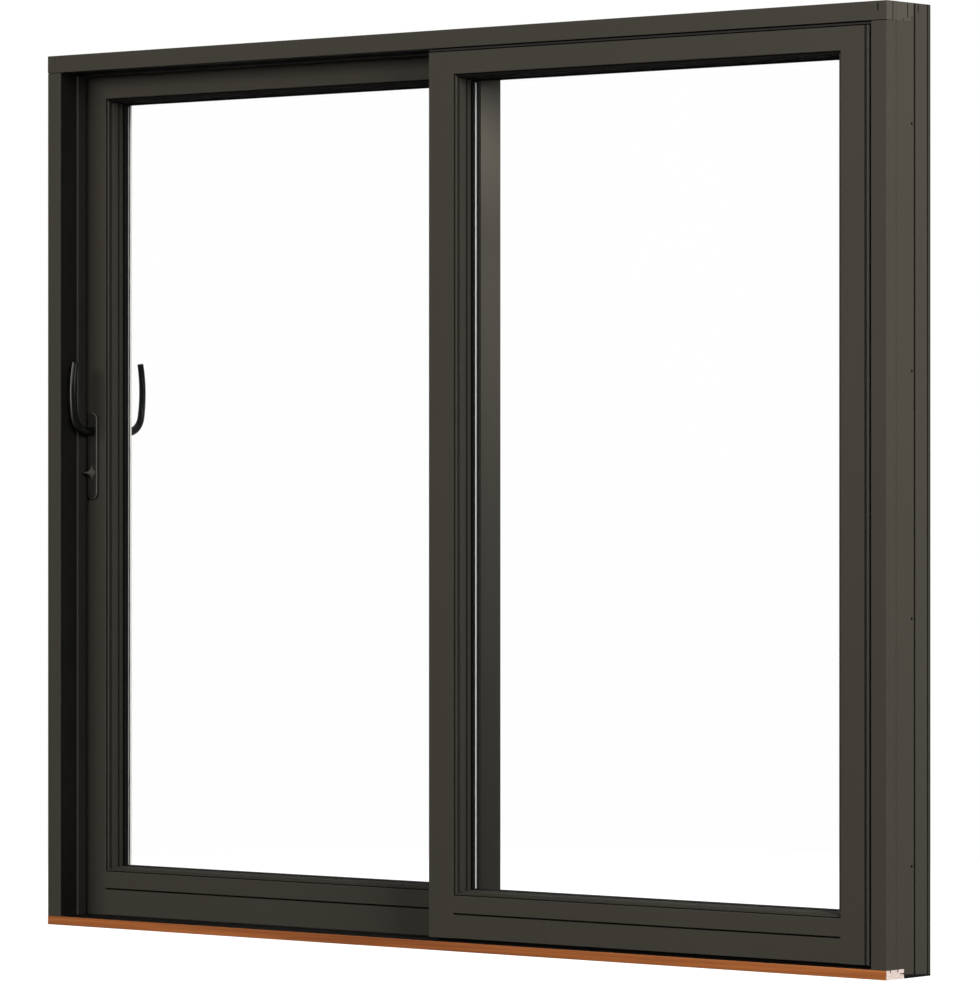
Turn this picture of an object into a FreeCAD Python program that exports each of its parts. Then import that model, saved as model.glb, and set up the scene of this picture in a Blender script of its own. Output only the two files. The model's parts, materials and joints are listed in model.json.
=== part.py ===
import FreeCAD, Part
import math
import os

# Sliding patio door: a timber frame with one fixed leaf at the near face and one sliding
# leaf on the far track. All sizes are in millimetres.
# X runs along the width, Y from the room side to the outside, Z up.
# The origin is the middle of the sill's underside.
# Inside the script "depth" is measured from the near face of the frame towards the outside.

# Overall size
FRAME_WIDTH = 2413.0
FRAME_HEIGHT = 2032.0

# Frame timbers
JAMB_FACE = 40.0
HEAD_FACE = 40.0
TIMBER_DEPTH = 100.0
JAMB_POCKET_WALL = 25.6
HEAD_POCKET_WALL = 28.0
FRAME_ARRIS = 1.2

# Lines round the outside of the frame
SIDE_LINE_AT = 33.4
SIDE_LINE_WIDTH = 1.2
SIDE_LINE_DEPTH = 0.8
JOINT_WIDTH = 2.2
JOINT_DEPTH = 4.0
WEATHER_LINE_WIDTH = 2.0
WEATHER_LINE_FROM_ROUND = 7.8
END_KERF_NEAR = 22.0
END_KERF_FAR = 74.4
END_KERF_WIDTH = 1.6
END_KERF_DEPTH = 3.0
END_KERF_STOP = 8.0
OUTER_KERF_AT = 112.0
OUTER_KERF_FOOT = 20.0
FRONT_KERF_FROM_END = 22.0
FRONT_KERF_FOOT = 19.5
FRONT_KERF_TOP = 4.0
CORNER_KERF_HEIGHT = 1.5
CORNER_KERF_DEPTH = 3.0

# Outer part of the frame, towards the weather
LIP_THICK = 3.0
JAMB_LIP_REACH = 40.0
HEAD_LIP_REACH = 44.0
OUTER_STEP_START = 14.0
OUTER_STEP_IN = 16.0
OUTER_ROUND = 7.0

# Leaves
LEAF_THICK = 76.0
FIXED_SETBACK = 1.0
LEAF_GAP = 15.0
RUN_CLEARANCE = 5.0
LEAD_STILE = 68.0
SLIDING_MEETING_STILE = 84.0
FIXED_MEETING_STILE = 71.0
FAR_STILE = 63.0
MEETING_OFFSET = 2.0
TOP_RAIL_FACE = 50.0
BOTTOM_RAIL_FACE = 94.0
LEAF_ARRIS = 1.5
CLADDING_THICK = 6.0
CLADDING_ROUND = 2.0

# Groove along each bottom rail
RAIL_GROOVE_DROP = 40.0
RAIL_GROOVE_WIDTH = 4.0
RAIL_GROOVE_DEPTH = 10.0

# Reveal strips round the fixed leaf
REVEAL_SIDE = 16.0
REVEAL_TOP = 9.0
REVEAL_SETBACK = 12.0
REVEAL_RIB_WIDTH = 3.5
REVEAL_SIDE_RIB_WIDTH = 6.5
REVEAL_SIDE_RIB_FROM_LEAF = 2.5
REVEAL_RIB_SETBACK = 4.0

# Liners in the recess beside and over the sliding leaf
LINER_START = 53.0
JAMB_LINER_THICK = 6.0
HEAD_LINER_THICK = 7.0
COVER_THICK = 1.5
COVER_SETBACK = 2.0

# Glazing bead, from the edge of the stile or rail inwards
BEAD_GAP_WIDTH = 1.5
BEAD_GAP_DEPTH = 8.0
BEAD_SETBACK = 4.5
BEAD_NOSE_WIDTH = 5.0
BEAD_NOSE_DEPTH = 9.5
BEAD_QUIRK_WIDTH = 1.2
BEAD_QUIRK_DEPTH = 2.0
BEAD_STEP_WIDTH = 3.7
BEAD_STEP_DEPTH = 17.0
BEAD_LAST_WIDTH = 1.5
BEAD_SEAL_WIDTH = 1.5
BEAD_SEAL_DEPTH = 3.0

# Insulated glass
PANE_THICK = 4.0
GLASS_CAVITY = 9.0
GLASS_EDGE_GAP = 1.5
SPACER_INSET = 1.0
SPACER_SHOW = 0.8

# Sill
NOSING_HEIGHT = 20.0
NOSING_DEPTH = 62.0
NOSING_KERF_WIDTH = 2.4
NOSING_KERF_DEPTH = 5.0
NOSING_KERF_FIRST = 12.5
NOSING_KERF_SECOND = 39.0
NOSING_SLOT_DEPTH = 14.0
NOSING_SLOT_HEIGHT = 9.5
PAN_FRONT_HEIGHT = 9.0
PAN_REAR_HEIGHT = 3.0
DECK_THICK = 1.5
DECK_SETBACK = 2.0
DECK_WELL_HEIGHT = 14.0
DECK_LIP_HEIGHT = 22.0
FILLER_HEIGHT = 7.5
FILLER_SETBACK = 14.0
TRACK_WIDTH = 8.0
TRACK_HEIGHT = 10.0
LEAF_LIFT = 7.5

# Rollers under the sliding leaf
ROLLER_RADIUS = 15.0
ROLLER_WIDTH = 8.0
ROLLER_GAP = 0.3
ROLLER_SLOT_WIDTH = 20.0
ROLLER_SLOT_HEADROOM = 6.0
ROLLER_FROM_END = 150.0
AXLE_RADIUS = 3.0

# Interlock between the meeting stiles
INTERLOCK_THICK = 2.0
INTERLOCK_BASE = 26.0
INTERLOCK_INSET = 8.0
INTERLOCK_LIP_GAP = 6.0

# Handle set on the leading stile
HANDLE_BACKSET = 30.4
PLATE_FOOT = 995.0
PLATE_HEIGHT = 204.0
PLATE_WIDTH = 32.0
PLATE_THICK = 7.0
PLATE_EDGE_CHAMFER = 2.0
PULL_FROM_PLATE_FOOT = 159.0
INNER_REACH = 70.0
OUTER_REACH = 90.0
PULL_BEND_RADIUS = 42.0
PULL_BEND_ANGLE = 80.0
PULL_BOW_RADIUS = 330.0
PULL_BOW_LEAN = 12.0
PULL_ROOT_WIDTH = 20.0
PULL_GRIP_WIDTH = 17.0
PULL_TIP_WIDTH = 15.5
PULL_ROOT_THICK = 19.8
PULL_GRIP_THICK = 15.5
PULL_TIP_THICK = 13.5
PULL_BEND_STEPS = 7
PULL_BOW_STEPS = 5
TURN_FROM_PLATE_FOOT = 62.0
TURN_HALF_BASE = 16.5
TURN_REACH = 21.0
TURN_TIP = 2.0
TURN_THICK = 7.0
TURN_HOLLOW = 5.0
TURN_BOSS_RADIUS = 10.0
TURN_BOSS_THICK = 3.0
TURN_GAP = 0.3
SPINDLE_RADIUS = 4.0
SPINDLE_CLEARANCE = 0.07
SPINDLE_DEPTH = 5.0
CYLINDER_RADIUS = 11.0
CYLINDER_PROUD = 4.0
KEYWAY_WIDTH = 2.0
KEYWAY_HEIGHT = 9.0
KEYWAY_DEPTH = 3.0

# Fixing holes through the jambs
FIXING_COUNT = 4
FIXING_FROM_FOOT = 232.0
FIXING_FROM_TOP = 252.0
FIXING_RADIUS = 2.5
FIXING_FROM_POCKET = 3.0

# Small lengths for cutting tools
THROUGH = 1.0

# Depths worked out from the sizes above
FIXED_FRONT = FIXED_SETBACK
FIXED_BACK = FIXED_FRONT + LEAF_THICK
SLIDING_FRONT = FIXED_BACK + LEAF_GAP
SLIDING_BACK = SLIDING_FRONT + LEAF_THICK
POCKET_FRONT = SLIDING_FRONT - RUN_CLEARANCE
POCKET_BACK = SLIDING_BACK + RUN_CLEARANCE
LINER_END = SLIDING_FRONT - PLATE_THICK - RUN_CLEARANCE
FRAME_DEPTH = POCKET_BACK + LIP_THICK
OUTER_STEP = FRAME_DEPTH - OUTER_STEP_START
BEAD_DEPTH = LEAF_THICK - CLADDING_THICK - 2 * PANE_THICK - GLASS_CAVITY

# Heights worked out from the sizes above
HEAD_UNDERSIDE = FRAME_HEIGHT - HEAD_FACE
HEAD_POCKET_TOP = FRAME_HEIGHT - HEAD_POCKET_WALL
DECK_TOP = NOSING_HEIGHT + DECK_THICK
FIXED_BOTTOM = DECK_TOP + FILLER_HEIGHT
FIXED_TOP = HEAD_UNDERSIDE - REVEAL_TOP
GLASS_LOW = FIXED_BOTTOM + BOTTOM_RAIL_FACE
GLASS_HIGH = FIXED_TOP - TOP_RAIL_FACE
SLIDING_BOTTOM = DECK_WELL_HEIGHT + LEAF_LIFT
SLIDING_TOP = HEAD_POCKET_TOP - RUN_CLEARANCE
TRACK_TOP = DECK_WELL_HEIGHT + TRACK_HEIGHT

# Widths worked out from the sizes above
HALF_WIDTH = FRAME_WIDTH / 2
SLIDING_LEFT = -HALF_WIDTH + JAMB_POCKET_WALL + RUN_CLEARANCE
FIXED_RIGHT = HALF_WIDTH - JAMB_FACE - REVEAL_SIDE
LEAF_SPAN = FIXED_RIGHT - FAR_STILE - MEETING_OFFSET - SLIDING_LEFT - LEAD_STILE - SLIDING_MEETING_STILE
OPENING_WIDTH = LEAF_SPAN / 2
SLIDING_GLASS_LEFT = SLIDING_LEFT + LEAD_STILE
SLIDING_GLASS_RIGHT = SLIDING_GLASS_LEFT + OPENING_WIDTH
SLIDING_RIGHT = SLIDING_GLASS_RIGHT + SLIDING_MEETING_STILE
FIXED_GLASS_RIGHT = FIXED_RIGHT - FAR_STILE
FIXED_GLASS_LEFT = FIXED_GLASS_RIGHT - OPENING_WIDTH
FIXED_LEFT = FIXED_GLASS_LEFT - FIXED_MEETING_STILE
HANDLE_X = SLIDING_LEFT + HANDLE_BACKSET


def y_of(depth):
    """Turn a depth from the near face into the part's Y."""
    return depth - FRAME_DEPTH / 2


def block(x0, x1, depth0, depth1, z0, z1):
    """A plain block between two corners, with its depths from the near face."""
    corner = FreeCAD.Vector(x0, y_of(depth0), z0)
    return Part.makeBox(x1 - x0, depth1 - depth0, z1 - z0, corner)


def prism_along_x(points, x0, x1):
    """Extrude a closed outline of (depth, z) points from x0 to x1."""
    corners = [FreeCAD.Vector(x0, y_of(depth), z) for depth, z in points]
    face = Part.Face(Part.makePolygon(corners + corners[:1]))
    return face.extrude(FreeCAD.Vector(x1 - x0, 0, 0))


def round_long_edges(shape, axis, radius, wanted):
    """Round the straight edges that run along an axis and that the wanted test picks."""
    edges = []
    for edge in shape.Edges:
        box = edge.BoundBox
        spans = {"x": box.XLength, "y": box.YLength, "z": box.ZLength}
        along = spans.pop(axis)
        if along > radius and max(spans.values()) < radius / 100 and wanted(box.Center):
            edges.append(edge)
    return shape.makeFillet(radius, edges) if edges else shape


def near_edges_rounded(shape, axis, front_depth, radius):
    """Round the arrises of a member's near face."""
    front = y_of(front_depth)
    return round_long_edges(shape, axis, radius, lambda centre: abs(centre.y - front) < radius / 100)


def back_edges_rounded(shape, axis, back_depth, radius):
    """Round the arrises of a member's far face."""
    back = y_of(back_depth)
    return round_long_edges(shape, axis, radius, lambda centre: abs(centre.y - back) < radius / 100)


def pan_height(depth):
    """Height of the sloping sill pan at a depth."""
    fall = (PAN_FRONT_HEIGHT - PAN_REAR_HEIGHT) / (FRAME_DEPTH - NOSING_DEPTH)
    return PAN_FRONT_HEIGHT - fall * (depth - NOSING_DEPTH)


def head():
    """Timber head, over both jambs, rebated for the sliding leaf's top edge."""
    outline = [
        (0, FRAME_HEIGHT),
        (0, HEAD_UNDERSIDE),
        (POCKET_FRONT, HEAD_UNDERSIDE),
        (POCKET_FRONT, HEAD_POCKET_TOP),
        (TIMBER_DEPTH, HEAD_POCKET_TOP),
        (TIMBER_DEPTH, FRAME_HEIGHT),
    ]
    bar = prism_along_x(outline, -HALF_WIDTH, HALF_WIDTH)
    bar = near_edges_rounded(bar, "x", 0, FRAME_ARRIS)
    line_end = SIDE_LINE_AT + SIDE_LINE_WIDTH
    far_end = END_KERF_FAR + END_KERF_WIDTH
    cuts = [block(-HALF_WIDTH - THROUGH, HALF_WIDTH + THROUGH, SIDE_LINE_AT, line_end,
                  FRAME_HEIGHT - SIDE_LINE_DEPTH, FRAME_HEIGHT + THROUGH)]
    for side in (-1, 1):
        cuts.append(front_kerf(side))
        cuts.append(side_block(side, SIDE_LINE_DEPTH, SIDE_LINE_AT, line_end, HEAD_UNDERSIDE - THROUGH))
        cuts.append(side_block(side, END_KERF_DEPTH, END_KERF_NEAR, END_KERF_NEAR + END_KERF_WIDTH,
                               HEAD_UNDERSIDE - THROUGH))
        cuts.append(side_block(side, END_KERF_DEPTH, END_KERF_FAR, far_end, HEAD_UNDERSIDE + END_KERF_STOP))
    return bar.cut(cuts)


def front_kerf(side):
    """Short upright kerf in the head's near face, close to one end."""
    middle = side * (HALF_WIDTH - FRONT_KERF_FROM_END)
    half = END_KERF_WIDTH / 2
    return block(middle - half, middle + half, -THROUGH, END_KERF_DEPTH,
                 FRAME_HEIGHT - FRONT_KERF_FOOT, FRAME_HEIGHT - FRONT_KERF_TOP)


def side_block(side, reach, depth0, depth1, foot):
    """Cutting block that enters one side of the frame and runs from a height past the top."""
    outer = side * (HALF_WIDTH + THROUGH)
    inner = side * (HALF_WIDTH - reach)
    return block(min(outer, inner), max(outer, inner), depth0, depth1, foot, FRAME_HEIGHT + THROUGH)


def fixing_holes(side):
    """Cutting tools for the row of fixing holes through one jamb."""
    start = side * (HALF_WIDTH + THROUGH)
    depth = y_of(POCKET_FRONT + FIXING_FROM_POCKET)
    length = JAMB_POCKET_WALL + 2 * THROUGH
    pitch = (FRAME_HEIGHT - FIXING_FROM_TOP - FIXING_FROM_FOOT) / (FIXING_COUNT - 1)
    tools = []
    for index in range(FIXING_COUNT):
        centre = FreeCAD.Vector(start, depth, FIXING_FROM_FOOT + index * pitch)
        tools.append(Part.makeCylinder(FIXING_RADIUS, length, centre, FreeCAD.Vector(-side, 0, 0)))
    return tools


def mirrored(shape):
    """The same shape on the other side of the door's middle."""
    return shape.mirror(FreeCAD.Vector(0, 0, 0), FreeCAD.Vector(1, 0, 0))


def jamb(side):
    """Timber jamb, thinner where the leaf enters its pocket, with a shadow line under the head."""
    inner = -HALF_WIDTH + JAMB_FACE
    pocket = -HALF_WIDTH + JAMB_POCKET_WALL
    foot = pan_height(TIMBER_DEPTH)
    near = block(-HALF_WIDTH, inner, 0, POCKET_FRONT, 0, HEAD_UNDERSIDE)
    near = near_edges_rounded(near, "z", 0, FRAME_ARRIS)
    far = block(-HALF_WIDTH, pocket, POCKET_FRONT, TIMBER_DEPTH, foot, HEAD_POCKET_TOP)
    post = near.fuse(far).removeSplitter()
    shadow = block(-HALF_WIDTH - THROUGH, inner + THROUGH, -THROUGH, CORNER_KERF_DEPTH,
                   HEAD_UNDERSIDE - CORNER_KERF_HEIGHT, HEAD_UNDERSIDE + THROUGH)
    post = post.cut([sill_cutter(), shadow, side_block(-1, SIDE_LINE_DEPTH, SIDE_LINE_AT,
                                                       SIDE_LINE_AT + SIDE_LINE_WIDTH, -THROUGH)])
    if side > 0:
        post = mirrored(post)
    return post.cut(fixing_holes(side)).removeSplitter()


def sill_cutter():
    """The space that nosing and pan take under the jambs."""
    outline = [
        (-THROUGH, -THROUGH),
        (-THROUGH, NOSING_HEIGHT),
        (NOSING_DEPTH, NOSING_HEIGHT),
        (NOSING_DEPTH, PAN_FRONT_HEIGHT),
        (FRAME_DEPTH, PAN_REAR_HEIGHT),
        (FRAME_DEPTH + THROUGH, PAN_REAR_HEIGHT),
        (FRAME_DEPTH + THROUGH, -THROUGH),
    ]
    return prism_along_x(outline, -HALF_WIDTH - THROUGH, HALF_WIDTH + THROUGH)


def weather_edge(place):
    """Edges of the frame's outer profile from the joint groove to the back, as place puts them."""
    round_start = OUTER_STEP - OUTER_ROUND
    line_end = round_start - WEATHER_LINE_FROM_ROUND
    line_start = line_end - WEATHER_LINE_WIDTH
    groove_end = TIMBER_DEPTH + JOINT_WIDTH
    before = [
        (JOINT_DEPTH, TIMBER_DEPTH),
        (JOINT_DEPTH, groove_end),
        (0, groove_end),
        (0, line_start),
        (SIDE_LINE_DEPTH, line_start),
        (SIDE_LINE_DEPTH, line_end),
        (0, line_end),
        (0, round_start),
    ]
    return segments([place(*point) for point in before]) + rear_corner(place)


def rear_corner(place):
    """Edges of the rounded corner and the step behind it, as place puts them."""
    turn = OUTER_ROUND * math.sin(math.radians(45))
    start = place(0, OUTER_STEP - OUTER_ROUND)
    middle = place(OUTER_ROUND - turn, OUTER_STEP - OUTER_ROUND + turn)
    after = [
        (OUTER_ROUND, OUTER_STEP),
        (OUTER_STEP_IN, OUTER_STEP),
        (OUTER_STEP_IN, FRAME_DEPTH),
    ]
    arc = Part.Arc(start, middle, place(*after[0])).toShape()
    return [arc] + segments([place(*point) for point in after])


def rear_corner_cutter():
    """What the rounded corner and the step leave away at the left of the sill."""
    def place(inwards, depth):
        return FreeCAD.Vector(-HALF_WIDTH + inwards, y_of(depth), -THROUGH)
    outside = [
        (OUTER_STEP_IN, FRAME_DEPTH),
        (OUTER_STEP_IN, FRAME_DEPTH + THROUGH),
        (-THROUGH, FRAME_DEPTH + THROUGH),
        (-THROUGH, OUTER_STEP - OUTER_ROUND),
        (0, OUTER_STEP - OUTER_ROUND),
    ]
    edges = rear_corner(place) + segments([place(*point) for point in outside])
    return Part.Face(Part.Wire(edges)).extrude(FreeCAD.Vector(0, 0, NOSING_HEIGHT))


def segments(corners):
    """Straight edges through a row of corners."""
    return [Part.LineSegment(a, b).toShape() for a, b in zip(corners, corners[1:])]


def outer_member(thickness, reach, place, travel):
    """Extrude the outer frame section; place turns (inwards, depth) into a point."""
    inside = [
        (OUTER_STEP_IN, FRAME_DEPTH),
        (reach, FRAME_DEPTH),
        (reach, POCKET_BACK),
        (thickness, POCKET_BACK),
        (thickness, TIMBER_DEPTH),
        (JOINT_DEPTH, TIMBER_DEPTH),
    ]
    edges = weather_edge(place) + segments([place(*point) for point in inside])
    return Part.Face(Part.Wire(edges)).extrude(travel)


def end_cutter():
    """What the outer profile leaves away at the left end of the outer head."""
    def place(inwards, depth):
        return FreeCAD.Vector(-HALF_WIDTH + inwards, y_of(depth), 0)
    outside = [
        (OUTER_STEP_IN, FRAME_DEPTH),
        (OUTER_STEP_IN, FRAME_DEPTH + THROUGH),
        (-THROUGH, FRAME_DEPTH + THROUGH),
        (-THROUGH, TIMBER_DEPTH),
        (JOINT_DEPTH, TIMBER_DEPTH),
    ]
    edges = weather_edge(place) + segments([place(*point) for point in outside])
    return Part.Face(Part.Wire(edges)).extrude(FreeCAD.Vector(0, 0, FRAME_HEIGHT + THROUGH))


def head_outer():
    """Outer part of the head, with the lip that keeps the sliding leaf in."""
    def place(inwards, depth):
        return FreeCAD.Vector(-HALF_WIDTH, y_of(depth), FRAME_HEIGHT - inwards)
    bar = outer_member(HEAD_POCKET_WALL, HEAD_LIP_REACH, place, FreeCAD.Vector(FRAME_WIDTH, 0, 0))
    kerf_end = OUTER_KERF_AT + END_KERF_WIDTH
    kerfs = [side_block(side, END_KERF_DEPTH, OUTER_KERF_AT, kerf_end, FRAME_HEIGHT - OUTER_KERF_FOOT)
             for side in (-1, 1)]
    lip_end = HALF_WIDTH - JAMB_LIP_REACH
    lip_room = block(-HALF_WIDTH - THROUGH, -lip_end, POCKET_BACK, FRAME_DEPTH + THROUGH, 0, HEAD_POCKET_TOP)
    cutter = end_cutter()
    return bar.cut([lip_room, mirrored(lip_room), cutter, mirrored(cutter)] + kerfs)


def jamb_outer(side):
    """Outer part of a jamb, under the outer part of the head."""
    def place(inwards, depth):
        return FreeCAD.Vector(-HALF_WIDTH + inwards, y_of(depth), 0)
    post = outer_member(JAMB_POCKET_WALL, JAMB_LIP_REACH, place, FreeCAD.Vector(0, 0, HEAD_POCKET_TOP))
    post = post.cut(sill_cutter())
    return mirrored(post) if side > 0 else post


def sill_nosing():
    """Clear-finished timber nosing with its kerfs, as long as the frame is wide."""
    bar = block(-HALF_WIDTH, HALF_WIDTH, 0, NOSING_DEPTH, 0, NOSING_HEIGHT)
    bar = near_edges_rounded(bar, "x", 0, FRAME_ARRIS)
    long_left = -HALF_WIDTH - THROUGH
    long_right = HALF_WIDTH + THROUGH
    kerf_floor = NOSING_HEIGHT - NOSING_KERF_DEPTH
    cuts = []
    for start in (NOSING_KERF_FIRST, NOSING_KERF_SECOND):
        cuts.append(block(long_left, long_right, start, start + NOSING_KERF_WIDTH,
                          kerf_floor, NOSING_HEIGHT + THROUGH))
    cuts.append(block(long_left, long_right, NOSING_DEPTH - NOSING_SLOT_DEPTH, NOSING_DEPTH + THROUGH,
                      NOSING_SLOT_HEIGHT, NOSING_SLOT_HEIGHT + NOSING_KERF_WIDTH))
    return bar.cut(cuts)


def sill_pan():
    """Sloping pan behind the nosing, flat underneath, with the frame's rear corners."""
    outline = [
        (NOSING_DEPTH, 0),
        (NOSING_DEPTH, PAN_FRONT_HEIGHT),
        (FRAME_DEPTH, PAN_REAR_HEIGHT),
        (FRAME_DEPTH, 0),
    ]
    cutter = rear_corner_cutter()
    return prism_along_x(outline, -HALF_WIDTH, HALF_WIDTH).cut([cutter, mirrored(cutter)])


def between_jambs(outline):
    """A sill member along the whole opening, cut to fit round the jambs and their lips."""
    bar = prism_along_x(outline, -HALF_WIDTH + JAMB_POCKET_WALL, HALF_WIDTH - JAMB_POCKET_WALL)
    room = []
    for reach, depth0, depth1 in ((JAMB_FACE, 0, POCKET_FRONT), (JAMB_LIP_REACH, POCKET_BACK, FRAME_DEPTH)):
        for side in (-1, 1):
            room.append(side_block(side, reach, depth0, depth1, 0))
    return bar.cut(room)


def sill_deck():
    """Metal deck over the nosing, down to the pan behind it."""
    return between_jambs([
        (DECK_SETBACK, NOSING_HEIGHT),
        (DECK_SETBACK, DECK_TOP),
        (POCKET_FRONT, DECK_TOP),
        (POCKET_FRONT, pan_height(POCKET_FRONT)),
        (NOSING_DEPTH, PAN_FRONT_HEIGHT),
        (NOSING_DEPTH, NOSING_HEIGHT),
    ])


def sill_well():
    """Floor of the sliding leaf's well, with the lip on its weather side."""
    return between_jambs([
        (POCKET_FRONT, pan_height(POCKET_FRONT)),
        (POCKET_FRONT, DECK_WELL_HEIGHT),
        (POCKET_BACK, DECK_WELL_HEIGHT),
        (POCKET_BACK, DECK_LIP_HEIGHT),
        (FRAME_DEPTH, DECK_LIP_HEIGHT),
        (FRAME_DEPTH, PAN_REAR_HEIGHT),
    ])


def sill_track():
    """Round-topped rail that the rollers run on."""
    left = -HALF_WIDTH + JAMB_POCKET_WALL
    length = FRAME_WIDTH - 2 * JAMB_POCKET_WALL
    depth = (SLIDING_FRONT + SLIDING_BACK) / 2
    crown = TRACK_WIDTH / 2
    web = block(left, left + length, depth - crown, depth + crown, DECK_WELL_HEIGHT, TRACK_TOP - crown)
    centre = FreeCAD.Vector(left, y_of(depth), TRACK_TOP - crown)
    bead = Part.makeCylinder(crown, length, centre, FreeCAD.Vector(1, 0, 0))
    return web.fuse(bead).removeSplitter()


def jamb_cover_left():
    """Dark cover strip on the reveal beside the sliding leaf."""
    inner = -HALF_WIDTH + JAMB_FACE
    return block(inner, inner + COVER_THICK, COVER_SETBACK, LINER_START, DECK_TOP, HEAD_UNDERSIDE)


def jamb_liner_left():
    """Liner that stands proud of the reveal in front of the sliding leaf."""
    inner = -HALF_WIDTH + JAMB_FACE
    edge = inner + JAMB_LINER_THICK
    top = HEAD_UNDERSIDE - HEAD_LINER_THICK
    bar = block(inner, edge, LINER_START, LINER_END, DECK_TOP, top)
    return round_long_edges(bar, "z", FRAME_ARRIS, lambda centre: abs(centre.x - edge) < FRAME_ARRIS / 100)


def head_liner():
    """Liner over the sliding leaf, as far as the fixed leaf."""
    inner = -HALF_WIDTH + JAMB_FACE
    low = HEAD_UNDERSIDE - HEAD_LINER_THICK
    bar = block(inner, FIXED_LEFT, LINER_START, LINER_END, low, HEAD_UNDERSIDE)
    return near_edges_rounded(bar, "x", LINER_START, FRAME_ARRIS)


def fixed_filler():
    """Packing strip that carries the fixed leaf on the deck."""
    return block(FIXED_LEFT + FILLER_SETBACK, HALF_WIDTH - JAMB_FACE, FILLER_SETBACK, FIXED_BACK,
                 DECK_TOP, FIXED_BOTTOM)


def fixed_reveal_top():
    """Strip with a raised rib between the fixed leaf and the head."""
    right = HALF_WIDTH - JAMB_FACE
    strip = block(FIXED_LEFT, right, REVEAL_SETBACK, FIXED_BACK, FIXED_TOP, HEAD_UNDERSIDE)
    middle = (FIXED_TOP + HEAD_UNDERSIDE) / 2
    half = REVEAL_RIB_WIDTH / 2
    rib = block(FIXED_LEFT, right, REVEAL_RIB_SETBACK, REVEAL_SETBACK, middle - half, middle + half)
    return strip.fuse(rib).removeSplitter()


def fixed_reveal_right():
    """Strip with a raised rib between the fixed leaf and its jamb."""
    right = HALF_WIDTH - JAMB_FACE
    strip = block(FIXED_RIGHT, right, REVEAL_SETBACK, FIXED_BACK, FIXED_BOTTOM, FIXED_TOP)
    start = FIXED_RIGHT + REVEAL_SIDE_RIB_FROM_LEAF
    rib = block(start, start + REVEAL_SIDE_RIB_WIDTH, REVEAL_RIB_SETBACK, REVEAL_SETBACK,
                FIXED_BOTTOM, FIXED_TOP)
    return strip.fuse(rib).removeSplitter()


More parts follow.
